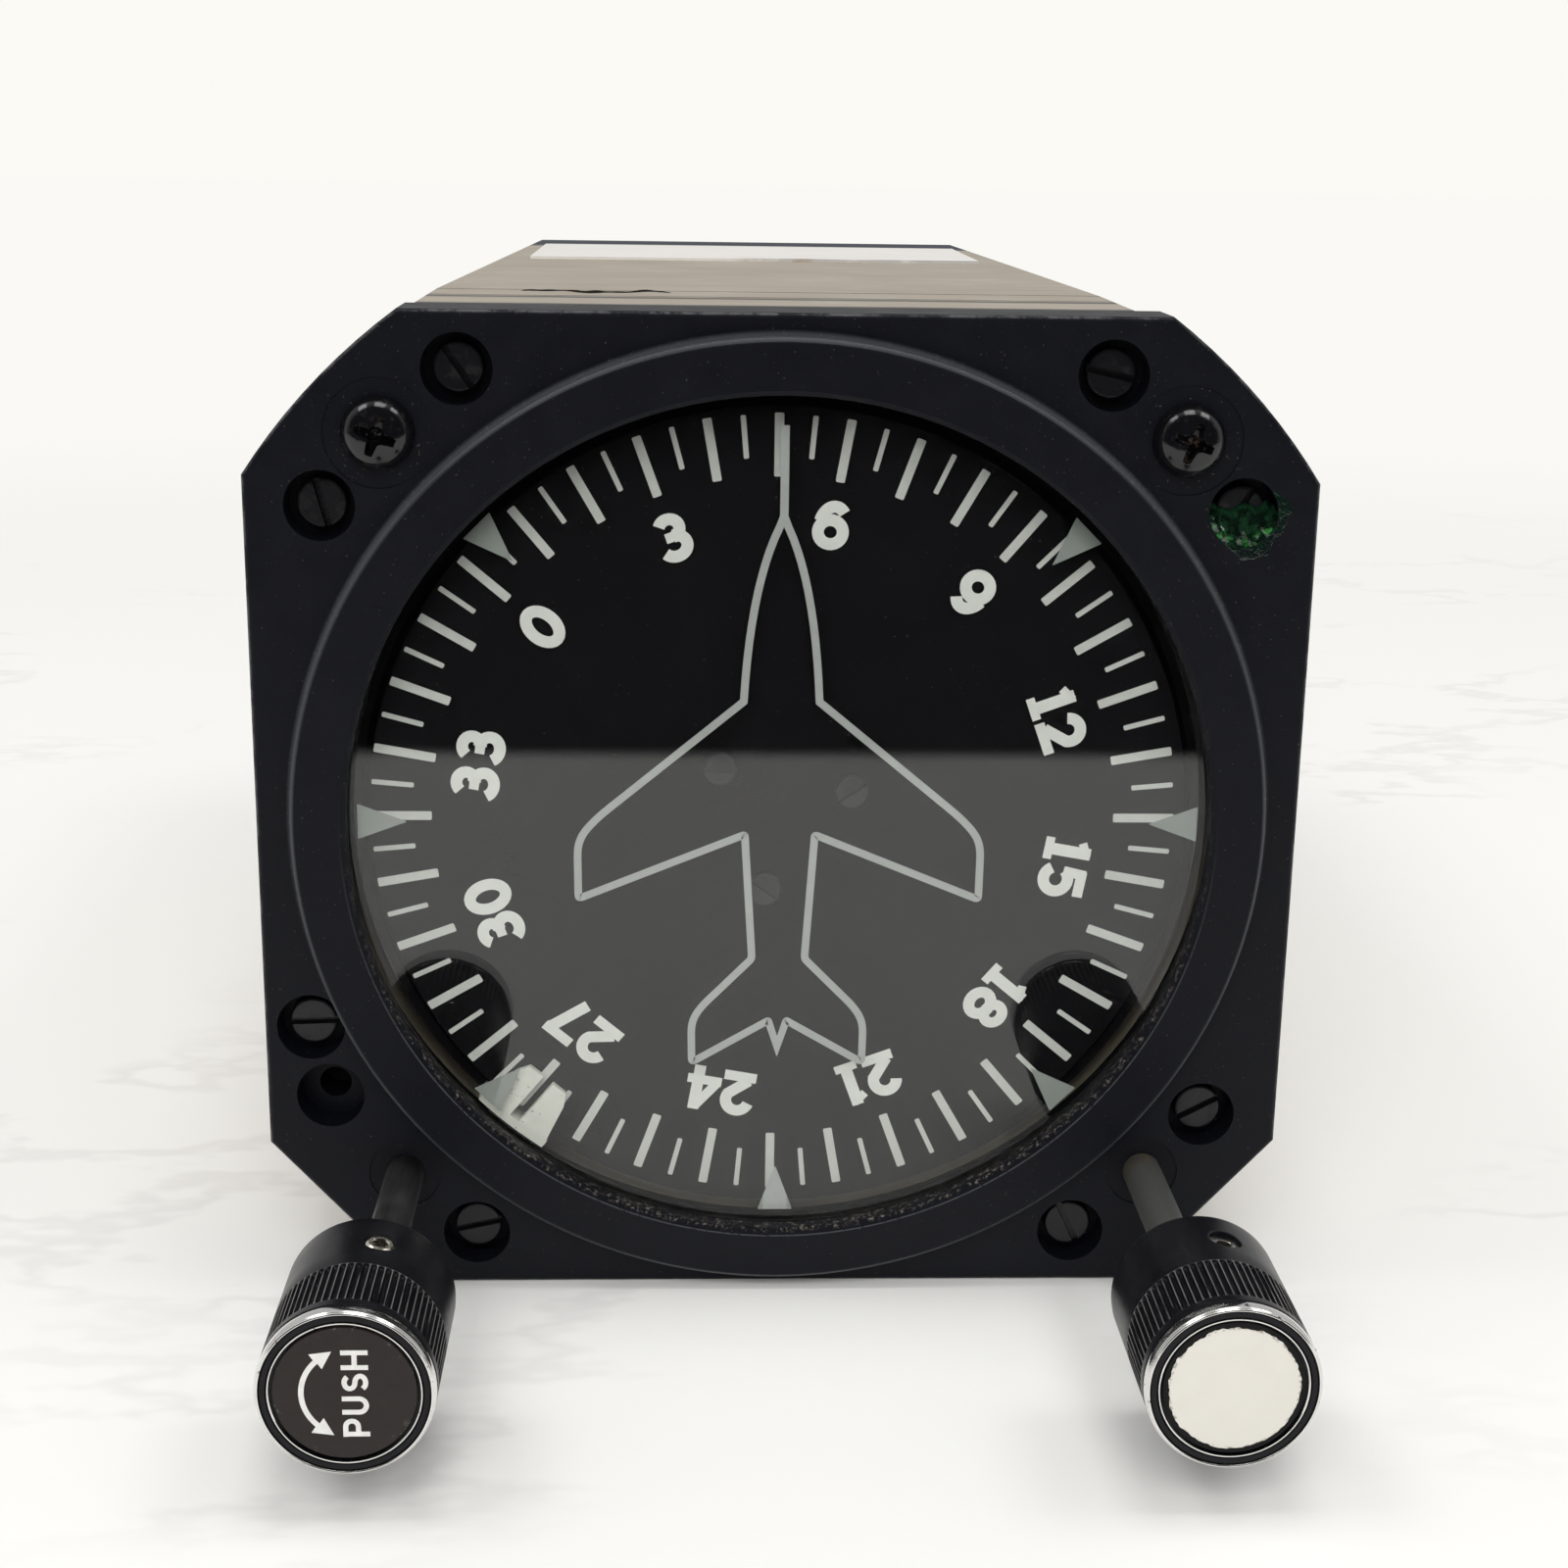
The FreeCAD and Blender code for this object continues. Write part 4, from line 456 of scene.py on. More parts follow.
# Cover glass: a flat disc of clear glass in the ring, held from behind by a rubber ring and a sprung
# steel ring. Light passes it without a shadow of its own.
glass = Finish("clear_glass")
spot = glass.place()
smear = glass.step(glass.grain(spot, 0.12, 3.0), 0.5, 0.75)
clear = glass.shade(
    {
        "Base Color": glass.mix(smear, (0.96, 0.97, 0.96), (0.99, 1.0, 0.99)),
        "Transmission Weight": 1.0,
        "IOR": 1.46,
        "Roughness": 0.0,
    }
)
(shadow_ray,) = glass.rays("Shadow")
open_way = glass.node("BsdfTransparent", inputs={"Color": (0.92, 0.94, 0.93, 1.0)})
glass.show(glass.node("MixShader", inputs={0: shadow_ray, 1: clear, 2: open_way}))
cover(glass.material, "cover_glass")


def sheet_rubber(name, colour):
    """Matt black rubber with a fine moulded grain."""
    rubber = Finish(name)
    spot = rubber.place()
    cloud = rubber.grain(spot, 0.9, 4.0)
    tone = rubber.mix(cloud, colour, [min(1.0, 2.2 * c) for c in colour])
    look = {"Base Color": tone, "Roughness": 0.7 + 0.2 * cloud, "Specular IOR Level": 0.08}
    rubber.shade(look, rubber.grain(spot, 6.0, 2.0), 0.03)
    return rubber.material


cover(sheet_rubber("seal_ring_rubber", (0.010, 0.010, 0.010)), "glass_gasket")


def drawn_steel(name, dark, bright, stretch=(1.0, 1.0, 1.0), rough=0.22):
    """Steel with fine marks, which a stretch under 1 draws out along that axis, duller in patches."""
    steel = Finish(name)
    marks = steel.grain(steel.place(stretch), 2.4, 4.0)
    cloud = steel.grain(steel.place(), 0.5, 3.0)
    tone = steel.mix(marks * 0.6 + cloud * 0.4, dark, bright)
    steel.shade({"Base Color": tone, "Metallic": 1.0, "Roughness": rough + 0.22 * cloud}, marks, 0.01)
    return steel.material


spring_wire = drawn_steel("spring_wire_steel", (0.32, 0.31, 0.30), (0.62, 0.61, 0.60))
cover(spring_wire, "glass_snap_ring")


# Aeroplane and fixed marks: light grey-green paint on the glass's inner face. The outline of an
# aeroplane seen from above points to the top, and seven triangles mark every 45 degrees but the top.
paint_back, paint_lift = 1.94, 0.03
line_width = 0.62


def rounded(corners, cut, closed=False, steps=5):
    """The corners' path, each corner replaced by a quadratic curve that starts cut before it."""
    corners = np.asarray(corners, float)
    cuts = np.broadcast_to(cut, len(corners))
    path = []
    for k, (corner, reach) in enumerate(zip(corners, cuts)):
        if reach == 0 or (not closed and k in (0, len(corners) - 1)):
            path.append(corner[None])
            continue
        back, on = corners[k - 1] - corner, corners[(k + 1) % len(corners)] - corner
        first = corner + back * min(0.48, reach / np.linalg.norm(back))
        last = corner + on * min(0.48, reach / np.linalg.norm(on))
        t = np.linspace(0, 1, steps)[:, None]
        path.append((1 - t) ** 2 * first + 2 * t * (1 - t) * corner + t**2 * last)
    return np.vstack(path)


def band(path, width, back, lift, closed=False):
    """A painted line along a path of (x, z). Its sides stand off by half the width, mitred at corners."""
    path = np.asarray(path, float)
    if closed:
        before, after = np.roll(path, 1, 0), np.roll(path, -1, 0)
    else:
        before = np.vstack([2 * path[:1] - path[1:2], path[:-1]])
        after = np.vstack([path[1:], 2 * path[-1:] - path[-2:-1]])
    come, go = path - before, after - path
    come /= np.linalg.norm(come, axis=1, keepdims=True)
    go /= np.linalg.norm(go, axis=1, keepdims=True)
    along = come + go
    along /= np.maximum(np.linalg.norm(along, axis=1, keepdims=True), 1e-9)
    mitre = 1 / np.maximum((come * along).sum(1), 0.34)
    side = np.stack([-along[:, 1], along[:, 0]], 1) * (width / 2 * mitre)[:, None]
    grid = np.empty((len(path), 4, 3))
    for k, (edge, y) in enumerate(((-1, back), (-1, back - lift), (1, back - lift), (1, back))):
        grid[:, k, 0] = path[:, 0] + edge * side[:, 0]
        grid[:, k, 1] = y
        grid[:, k, 2] = path[:, 1] + edge * side[:, 1]
    if closed:
        return grid, True, True
    caps = [np.repeat(grid[k].mean(0)[None, None], 4, 1) for k in (0, -1)]
    return np.concatenate([caps[0], grid, caps[1]]), False, True


def prism(corners, back, lift):
    """A painted patch: the ring of corners at both faces, each face closed at its middle."""
    corners = np.asarray(corners, float)
    middle = np.repeat(corners.mean(0)[None], len(corners), 0)
    rows = ((middle, back - lift), (corners, back - lift), (corners, back), (middle, back))
    grid = np.stack([np.stack([p[:, 0], np.full(len(p), y), p[:, 1]], 1) for p, y in rows])
    return grid, False, True


def clockwise(path, degrees, middle=(0.0, 0.0)):
    """A path of (x, z) turned clockwise, as seen from the front, and moved to a middle."""
    c, s = math.cos(math.radians(degrees)), math.sin(math.radians(degrees))
    u, v = np.asarray(path, float).T
    return np.stack([middle[0] + u * c + v * s, middle[1] + v * c - u * s], 1)


def curve(first, pull, last, count=12):
    """A quadratic curve between two points, pulled towards a third."""
    t = np.linspace(0, 1, count)[:, None]
    a, b, c = (np.asarray(p, float) for p in (first, pull, last))
    return (1 - t) ** 2 * a + 2 * t * (1 - t) * b + t**2 * c


# Half of the outline, from the nose's tip down the right side to the tail, and how far each of its corners
# is rounded off.
nose = curve((0.35, 24.2), (2.55, 19.6), (3.04, 10.1))
half = [(0.0, 25.1)] + nose.tolist()
half += [(15.1, 0.15), (16.45, -1.6), (16.4, -6.5), (2.85, -1.0), (2.17, -11.66)]
half += [(6.45, -16.0), (7.15, -17.3), (7.1, -20.8), (0.75, -17.1), (0.0, -19.4)]
turns = [0.0] * 13 + [1.6, 1.2, 0.35, 0.25, 0.3, 1.1, 0.9, 0.4, 0.12, 0.0]
mirrored = [(-u, v) for u, v in half[1:-1]][::-1]
outline = rounded(half + mirrored, turns + turns[1:-1][::-1], True)
marks = [band(outline, line_width, paint_back, paint_lift, True)]
marks.append(band([(0.0, 32.2), (0.0, 25.1)], 0.66, paint_back, paint_lift + 0.003))
triangle = rounded([(-1.48, 34.14), (1.48, 34.14), (0.0, 30.14)], (0.1, 0.1, 0.12), True, 4)
for degrees in range(45, 360, 45):
    marks.append(prism(clockwise(triangle, degrees), paint_back, paint_lift))

fixed_paint = Finish("glass_paint")
spot = fixed_paint.place()
x, z = fixed_paint.parts(spot, "xz")
cloud = fixed_paint.grain(spot, 1.2, 4.0)
outer = fixed_paint.step(fixed_paint.distance(x, z), 29.6, 30.4) * fixed_paint.step(abs(x), 0.9, 1.1)
tone = fixed_paint.mix(cloud, (0.40, 0.405, 0.39), (0.48, 0.485, 0.47))
tone = fixed_paint.mix(outer, tone, (0.30, 0.32, 0.295))
fixed_paint.shade({"Base Color": tone, "Roughness": 0.45 + 0.2 * cloud}, cloud, 0.02)
piece("aeroplane_outline", marks, "case", fixed_paint.material)


# Dial: a matt black disc behind the glass, with 72 lines and the figures 0 to 33 in off-white paint,
# printed a little off its centre. Three small slotted screws fix it to the flange of its arbor.
dial_face, print_middle = 3.9, (-0.4, -0.05)
dial_black = Finish("dial_black")
spot = dial_black.place()
cloud = dial_black.grain(spot, 0.3, 4.0)
flecks = dial_black.step(dial_black.grain(spot, 2.8, 1.0), 0.735, 0.76)
tone = dial_black.mix(cloud, (0.0045, 0.0040, 0.0048), (0.0085, 0.0075, 0.0090))
tone = dial_black.mix(flecks * 0.5, tone, (0.10, 0.09, 0.085))
look = {"Base Color": tone, "Roughness": 0.62 + 0.15 * cloud, "Specular IOR Level": 0.08}
dial_black.shade(look, cloud, 0.02)
cover(dial_black.material, "dial_card")


def arc(middle, reach, start, end, count=14):
    """Points of an ellipse about middle, from one angle to another in degrees."""
    turn = np.radians(np.linspace(start, end, count))
    return np.stack([middle[0] + reach[0] * np.cos(turn), middle[1] + reach[1] * np.sin(turn)], 1)


# A figure is a list of strokes: a path with u to the right and v up from the figure's middle, whether it is
# closed, and the brush's width.
stroke = 0.95
six = [
    (arc((0.0, -0.56), (1.0, 0.97), 0, 345, 24), True, stroke),
    (arc((0.1, -0.1), (1.1, 1.62), 170, 48, 12), False, stroke),
]
figures = {
    "0": [(arc((0.0, 0.0), (1.02, 1.53), 0, 345, 24), True, stroke)],
    "1": [
        ([(0.12, -1.6), (0.12, 1.9)], False, 1.0),
        ([(0.4, 1.66), (-0.74, 1.08)], False, 0.7),
        ([(-0.85, -1.64), (1.05, -1.64)], False, 0.72),
    ],
    "2": [
        (np.vstack([arc((0.0, 0.55), (0.97, 0.98), 168, -28, 16), [(-0.72, -1.3)]]), False, stroke),
        ([(-1.3, -1.56), (1.42, -1.56)], False, 0.86),
    ],
    "3": [
        (arc((-0.03, 0.77), (0.84, 0.76), 152, -86, 16), False, stroke),
        (arc((-0.03, -0.68), (1.0, 0.86), 86, -155, 18), False, stroke),
        ([(-0.55, 0.06), (0.1, 0.06)], False, 0.8),
    ],
    "4": [
        ([(0.5, -2.0), (0.5, 1.98)], False, 0.95),
        ([(0.42, 1.7), (-1.12, -0.62)], False, 0.8),
        ([(-1.5, -0.75), (1.4, -0.75)], False, 0.8),
    ],
    "5": [
        ([(1.2, 1.56), (-1.0, 1.56)], False, 0.86),
        ([(-0.72, 1.9), (-0.84, 0.0)], False, 0.84),
        (arc((-0.05, -0.52), (1.05, 1.02), 140, -152, 20), False, stroke),
    ],
    "6": six,
    "7": [
        ([(-1.35, 1.56), (1.4, 1.56)], False, 0.86),
        ([(0.92, 1.5), (-0.35, -1.98)], False, stroke),
    ],
    "8": [
        (arc((0.0, 0.82), (0.84, 0.73), 0, 345, 20), True, 0.9),
        (arc((0.0, -0.68), (1.02, 0.86), 0, 345, 20), True, stroke),
    ],
    "9": [(-np.asarray(path), closed, width) for path, closed, width in six],
}

# Long and short lines as inner radius, outer radius and width. Strokes that cross lie a little higher each,
# so that their faces don't coincide.
line_kinds = ((27.97, 33.0, 0.74), (29.47, 32.9, 0.42))
figure_radius, digit_width, one_width = 24.5, 3.05, 2.35
top_heading = 50.0
paint_thickness, stroke_step = 0.02, 0.003
lines, digits = [], []
for k in range(72):
    inner, outer, wide = line_kinds[k % 2]
    corners = [(-wide / 2, inner), (wide / 2, inner), (wide / 2, outer), (-wide / 2, outer)]
    corners = clockwise(rounded(corners, 0.12, True, 3), 5 * k, print_middle)
    lines.append(prism(corners, dial_face, paint_thickness))
for number in range(0, 36, 3):
    text = str(number)
    widths = [one_width if digit == "1" else digit_width for digit in text]
    start = -sum(widths) / 2
    for digit, wide in zip(text, widths):
        for k, (path, closed, thick) in enumerate(figures[digit]):
            u, v = np.asarray(path, float).T
            path = np.stack([u + start + wide / 2, v + figure_radius], 1)
            path = clockwise(path, 10.0 * number - top_heading, print_middle)
            digits.append(band(path, thick, dial_face, paint_thickness + stroke_step * k, closed))
        start += wide

figure_paint = Finish("figure_paint")
spot = figure_paint.place()
x, z = figure_paint.parts(spot, "xz")
cloud = figure_paint.grain(spot, 1.5, 4.0)
line_part = figure_paint.step(figure_paint.distance(x, z), 27.3, 27.6)
tone = figure_paint.mix(cloud, (0.78, 0.775, 0.73), (0.88, 0.875, 0.83))
tone = figure_paint.mix(line_part, tone, figure_paint.mix(cloud, (0.60, 0.60, 0.565), (0.70, 0.70, 0.66)))
figure_paint.shade({"Base Color": tone, "Roughness": 0.5 + 0.2 * cloud}, cloud, 0.02)
piece("dial_lines", lines, "dial", figure_paint.material)
piece("dial_figures", digits, "dial", figure_paint.material)

heads = []
dial_shank = [(0, dial_face), (0.7, dial_face), (0.7, 6.1), (0.6, 6.2), (0, 6.2)]
dial_head = {"front": 3.46, "radius": 1.35, "height": 0.44, "slot": 0.34, "depth": 0.25}
for bearing, turn in ((20.0, 35.0), (140.0, 0.0), (260.0, -35.0)):
    at = polar(6.3, bearing)
    heads += slotted_head(at, turn, dome=0.06, edge=0.12, **dial_head)
    heads.append(turned(dial_shank, at, 20))
dial_screws = piece("dial_screw_heads", heads, "dial", oxide.material)
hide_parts("dial_screws")


# Heading bug: a small two-lobed pointer in off-white paint, on the rim of the drum round the dial.
bug_paint = Finish("bug_paint")
spot = bug_paint.place()
cloud = bug_paint.grain(spot, 0.9, 4.0)
chips = bug_paint.step(bug_paint.grain(spot, 2.1, 3.0), 0.66, 0.7)
tone = bug_paint.mix(cloud, (0.72, 0.71, 0.63), (0.84, 0.83, 0.76))
tone = bug_paint.mix(chips * 0.6, tone, (0.25, 0.24, 0.2))
bug_paint.shade({"Base Color": tone, "Roughness": 0.4 + 0.2 * cloud}, cloud + chips * 0.5, 0.03)
cover(bug_paint.material, "heading_bug")


# Behind the dial: the bug's drum, black like the dial, its ring gear and retainer, the support plate and
# the dial's arbor. They are turned from aluminium and brass or ground from steel, and left bare.
def machined(name, dark, bright, rough, rings=None):
    """Machined metal: fine marks, turned ones where rings = (x, z) is the axis, and duller patches."""
    metal = Finish(name)
    spot = metal.place()
    cloud = metal.grain(spot, 0.35, 4.0)
    marks = metal.grain(metal.place((0.4, 3.0, 3.0)), 1.5, 3.0)
    if rings is not None:
        x, z = metal.parts(spot, "xz")
        radius = metal.distance(x - rings[0], z - rings[1])
        marks = 0.5 + 0.5 * metal.math("SINE", radius * 26.0 + cloud * 9.0)
    tone = metal.mix(cloud, dark, bright)
    metal.shade({"Base Color": tone, "Metallic": 1.0, "Roughness": rough + 0.2 * cloud}, marks, 0.006)
    return metal.material


turned_aluminium = machined("turned_aluminium", (0.52, 0.52, 0.53), (0.78, 0.78, 0.79), 0.24, (0.0, 0.0))
turned_brass = machined("turned_brass", (0.52, 0.36, 0.14), (0.76, 0.57, 0.28), 0.2, (0.0, 0.0))
ground_steel = drawn_steel("ground_steel", (0.34, 0.33, 0.32), (0.60, 0.59, 0.57), (1.0, 0.15, 1.0), 0.16)
cover(dial_black.material, "bug_drum")
cover(turned_aluminium, "bug_retainer", "support_plate")
cover(turned_brass, "bug_ring_gear", "dial_set_gear")
cover(ground_steel, "dial_arbor", "idler_studs", "fork_guide_pin", "cage_fork")


# Knobs: turned aluminium, black anodised, with a smooth skirt, a straight knurl and a collar. The front
# rim is turned bright again after anodising. A grub screw through the skirt holds each on its shaft.
knob_side, knob_distance = 30.96, 43.25
knob_place = (knob_side, -math.sqrt(knob_distance**2 - knob_side**2))
knob_radius, knob_back = 6.3, -21.5
knurl_flutes, knurl_front, knurl_back = 72, -34.6, -29.1
flute_depth, flute_run, land = 0.3, 0.35, 0.27
hole_y, hole_radius, hole_turn = -25.5, 1.2, math.radians(12.0)


def knurled_band(x, z):
    """The knurl: round flutes with narrow lands between.

    A flute's depth is flute_depth (1 - s^2 - e^2)^0.5, with s from -1 to 1 across it and e from 0 to 1
    over the flute_run at its ends, where it runs out in a half circle.
    """
    across = np.array([-1.0 - land, -1.0, -0.92, -0.7, -0.35, 0.0, 0.35, 0.7, 0.92, 1.0])
    share = (across + 1.0 + land) / (2.0 + land)
    turn = (np.arange(knurl_flutes)[:, None] + share[:-1]).reshape(1, -1) * 2 * math.pi / knurl_flutes
    s = np.tile(across[:-1], knurl_flutes)[None, :]
    ends = np.array([0.0, 0.05, 0.14, 0.25, flute_run])
    y = np.concatenate([knurl_front + ends, knurl_back - ends[::-1]])[:, None]
    e = np.concatenate([1 - ends / flute_run, 1 - ends[::-1] / flute_run])[:, None]
    radius = knob_radius - flute_depth * np.sqrt(np.maximum(1 - s**2 - e**2, 0.0))
    grid = np.stack([x + radius * np.cos(turn), y + 0 * turn, z + radius * np.sin(turn)], -1)
    return grid, False, True


def drilled_skirt(x, z):
    """The skirt and its grub screw's hole.

    Round the hole a patch runs from the hole's circle to a square on the skirt, as straight rows in the
    plane across the hole, lifted to the skirt's radius; the rest of the skirt is rings of (angle, y).
    """
    window, window_half = 0.26, 1.62
    side = np.linspace(-window, window, 13)
    rest = np.linspace(window, 2 * math.pi - window, 85)
    low, high = hole_y - window_half, hole_y + window_half
    upright = np.linspace(low, high, 9)
    up = np.array([math.sin(hole_turn), math.cos(hole_turn)])
    across = np.array([math.cos(hole_turn), -math.sin(hole_turn)])

    def placed(p, h, y):
        """The point p across the hole's axis and h along it."""
        return np.stack([x + across[0] * p + up[0] * h, y, z + across[1] * p + up[1] * h], -1)

    def on_skirt(turn, y, radius=knob_radius):
        return placed(*np.broadcast_arrays(radius * np.sin(turn), radius * np.cos(turn), y))

    whole = np.concatenate([side, rest[1:-1]])[None, :]
    before_y = np.array([knurl_back - 0.05, knurl_back, low])[:, None]
    before_r = knob_radius - np.array([0.01, 0.0, 0.0])[:, None]
    after_y = np.array([high, -22.2, -21.9, -21.72, -21.58, knob_back, knob_back])[:, None]
    after_r = knob_radius - np.array([0.0, 0.0, 0.03, 0.1, 0.22, 0.42, 4.6])[:, None]
    grids = [
        (on_skirt(whole, before_y, before_r), False, True),
        (on_skirt(whole, after_y, after_r), False, True),
        (on_skirt(rest[None, :], upright[:, None]), False, False),
    ]
    edge_turn = np.concatenate([side, np.full(8, window), side[::-1][1:], np.full(7, -window)])
    edge_y = np.concatenate([np.full(13, low), upright[1:], np.full(12, high), upright[::-1][1:-1]])
    edge = np.stack([knob_radius * np.sin(edge_turn), edge_y - hole_y], 1)
    way = edge / np.linalg.norm(edge, axis=1, keepdims=True)
    rows = [edge + (way * (hole_radius + 0.12) - edge) * t for t in np.linspace(0, 1, 6)]
    drops = [0.0] * 6 + [0.03, 0.12, 2.6]
    rows += [way * (hole_radius + 0.04), way * hole_radius, way * hole_radius]
    patch = []
    for row, drop in zip(rows, drops):
        p, q = row.T
        patch.append(placed(p, np.sqrt(knob_radius**2 - p**2) - drop, hole_y + q))
    grids.append((np.stack(patch), False, True))
    return grids


def knob_front_part(x, z):
    """The collar in front of the knurl and the black seat of the face."""
    collar = [(6.29, -34.55), (6.3, -34.6), (6.3, -35.3), (6.2, -35.42), (5.94, -35.42)]
    seat = [(5.94, -36.3), (5.86, -36.42), (5.5, -36.42), (5.44, -36.3), (5.44, -35.95), (0.0, -35.95)]
    return [turned(collar + seat, (x, z), 112)]


def knob_rim(x, z):
    """The bright rim: two bands with a fine groove between them."""
    inner = [(5.945, -35.46), (5.945, -36.4), (5.99, -36.48), (6.05, -36.5), (6.11, -36.47), (6.14, -36.41)]
    outer = [(6.17, -36.41), (6.22, -36.35), (6.275, -36.2), (6.3, -36.0), (6.3, -35.62), (6.26, -35.52)]
    return [turned(inner + outer + [(6.17, -35.46)], (x, z), 112, True)]


def face_ring(x, z):
    """The fine bright ring that holds the disc in the face."""
    profile = [(5.24, -35.9), (5.24, -36.38), (5.28, -36.43), (5.36, -36.43), (5.4, -36.38), (5.4, -35.9)]
    return [turned(profile, (x, z), 112, True)]


def knob_finish(name, x_axis):
    """Black anodising round the axis x_axis, worn pale at the skirt's rear edge; knurl crests pale as wear
    and painted highlight.
    """
    black = Finish(name)
    spot = black.place()
    x, y, z = black.parts(spot)
    radius = black.distance(x - x_axis, z - knob_place[1])
    cloud = black.grain(spot, 0.4, 4.0)
    # The knurl's crests are painted pale, partly as worn metal and partly as a painted highlight along each
    # crest.
    crest_wear_and_highlight = black.step(radius, 6.255, 6.29) * black.step(y, -34.62, -34.5) * black.step(y, -29.08, -29.2)
    crest_wear_and_highlight = crest_wear_and_highlight * black.step(black.grain(black.place((1.0, 0.3, 1.0)), 0.8, 3.0), 0.3, 0.5)
    ends = black.near(y, knob_back, 0.5) * black.step(radius, 5.9, 6.1)
    ends = ends * black.step(black.grain(spot, 1.0, 3.0), 0.5, 0.66)
    scratches = black.step(black.grain(black.place((6.0, 0.5, 6.0)), 0.8, 3.0), 0.7, 0.78)
    tone = black.mix(cloud, (0.0040, 0.0040, 0.0056), (0.008, 0.008, 0.0105))
    tone = black.mix(crest_wear_and_highlight * 0.6 + ends * 0.5 + scratches * 0.12, tone, (0.30, 0.29, 0.28))
    black.shade(
        {
            "Base Color": tone,
            "Metallic": 0.15,
            "Roughness": 0.26 + 0.16 * cloud + 0.1 * crest_wear_and_highlight,
            "Specular IOR Level": 0.24,
        },
        black.grain(spot, 4.0, 3.0),
        0.012,
    )
    return black.material


bright_rim = Finish("bright_rim")
spot = bright_rim.place()
nicks = bright_rim.step(bright_rim.grain(spot, 2.2, 3.0), 0.66, 0.72)
cloud = bright_rim.grain(spot, 0.7, 3.0)
tone = bright_rim.mix(cloud, (0.66, 0.65, 0.63), (0.88, 0.87, 0.85))
tone = bright_rim.mix(nicks, tone, (0.06, 0.055, 0.05))
shine = 0.1 + 0.1 * cloud + 0.3 * nicks
bright_rim.shade({"Base Color": tone, "Metallic": 1.0, "Roughness": shine}, nicks, 0.03)

for side, body in ((-1, "set_knob"), (1, "bug_knob")):
    at = (side * knob_place[0], knob_place[1])
    grids = [knurled_band(*at)] + drilled_skirt(*at) + knob_front_part(*at)
    shell = piece(body + "_shell", grids, body, knob_finish(body + "_anodised", at[0]))
    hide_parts(body)
    piece(body + "_rim", knob_rim(*at), body, bright_rim.material)
    piece(body + "_face_ring", face_ring(*at), body, bright_rim.material)


# Knob faces: thin laminate discs let into the knobs. The left one is dark brown with a white engraved
# sign for pushing and turning; the right one's sign is covered by a white disc with a ragged edge.
face_y, label_thickness = -36.36, 0.04


def disc_face(at, radius, front=face_y, thick=0.4, ragged=0.0):
    """A disc with a rounded edge; ragged lets its radius vary as a sum of sines of the angle."""
    turn = (np.arange(180) * 2 * math.pi / 180)[None, :]
    wave = 0.5 * np.sin(7 * turn + 1) + 0.35 * np.sin(17 * turn)
    wave = wave + 0.3 * np.sin(31 * turn + 2) + 0.25 * np.sin(53 * turn)
    out = radius + ragged * wave * (0.4 + 0.6 * np.sin(turn / 2 + 0.4) ** 2)
    rows = np.array([(0.0, 0.0), (0.5, 0.0), (0.97, 0.0), (1.0, 0.03), (1.0, thick), (0.0, thick)])
    r = rows[:, :1] * out
    y = front + rows[:, 1:] + 0 * turn
    return np.stack([at[0] + r * np.cos(turn), y, at[1] + r * np.sin(turn)], -1), False, True


laminate = Finish("brown_laminate")
spot = laminate.place()
x, z = laminate.parts(spot, "xz")
outer = laminate.step(laminate.distance(x + knob_place[0], z - knob_place[1]), 4.45, 4.9)
cloud = laminate.grain(spot, 0.8, 4.0)
scratches = laminate.step(laminate.grain(spot, 1.1, 6.0, 0.75), 0.56, 0.64) * outer
tone = laminate.mix(cloud, (0.018, 0.0145, 0.0135), (0.034, 0.027, 0.025))
tone = laminate.mix(scratches * 0.35, tone, (0.3, 0.28, 0.27))
look = {"Base Color": tone, "Roughness": 0.42 + 0.2 * cloud, "Specular IOR Level": 0.2}
laminate.shade(look, cloud + scratches, 0.02)
at = (-knob_place[0], knob_place[1])
brown = piece("set_knob_face", [disc_face(at, 4.98)], "set_knob", laminate.material)
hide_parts("set_knob_disc")

# The sign's letters run upwards, with their tops to the left; u runs along the word and v up a letter.
half_letter = 0.94
cup = arc((0.515, -0.24), (0.515, 0.5), 180, 360, 11)
bends = [arc((0.49, 0.37), (0.47, 0.37), 25, 255, 12), arc((0.49, -0.37), (0.5, 0.37), 75, -155, 12)]
letters = {
    "P": [
        [(0.0, -half_letter), (0.0, 0.74)],
        [(-0.2, 0.74), (0.58, 0.74)],
        arc((0.57, 0.3), (0.44, 0.44), 90, -90, 9),
        [(0.0, -0.14), (0.6, -0.14)],
    ],
    "U": [np.vstack([[(0.0, half_letter)], cup, [(1.03, half_letter)]])],
    "S": [np.vstack(bends)],
    "H": [
        [(0.0, -half_letter), (0.0, half_letter)],
        [(1.13, -half_letter), (1.13, half_letter)],
        [(0.0, 0.0), (1.13, 0.0)],
    ],
}
starts = {"P": -3.13, "U": -1.44, "S": 0.34, "H": 1.98}
word_line, letter_stroke, arrow_stroke = 0.73, 0.36, 0.38
sign = []
for letter, begin in starts.items():
    for k, path in enumerate(letters[letter]):
        u, v = np.asarray(path, float).T
        line = np.stack([at[0] + word_line - v, at[1] + begin + u], 1)
        sign.append(band(line, letter_stroke, face_y, paint_thickness + stroke_step * k))
bow = arc((0.29, 0.0), (3.29, 3.29), 131, 229, 22) + np.array(at)
sign.append(band(bow, arrow_stroke, face_y, paint_thickness))
arrow_head = [(-0.82, 3.2), (-2.38, 3.0), (-2.1, 2.58), (-1.8, 2.3), (-1.5, 1.88)]
for updown in (-1, 1):
    corners = [(at[0] + u, at[1] + updown * v) for u, v in arrow_head]
    sign.append(prism(corners, face_y, 0.024))
sign_paint = Finish("sign_white")
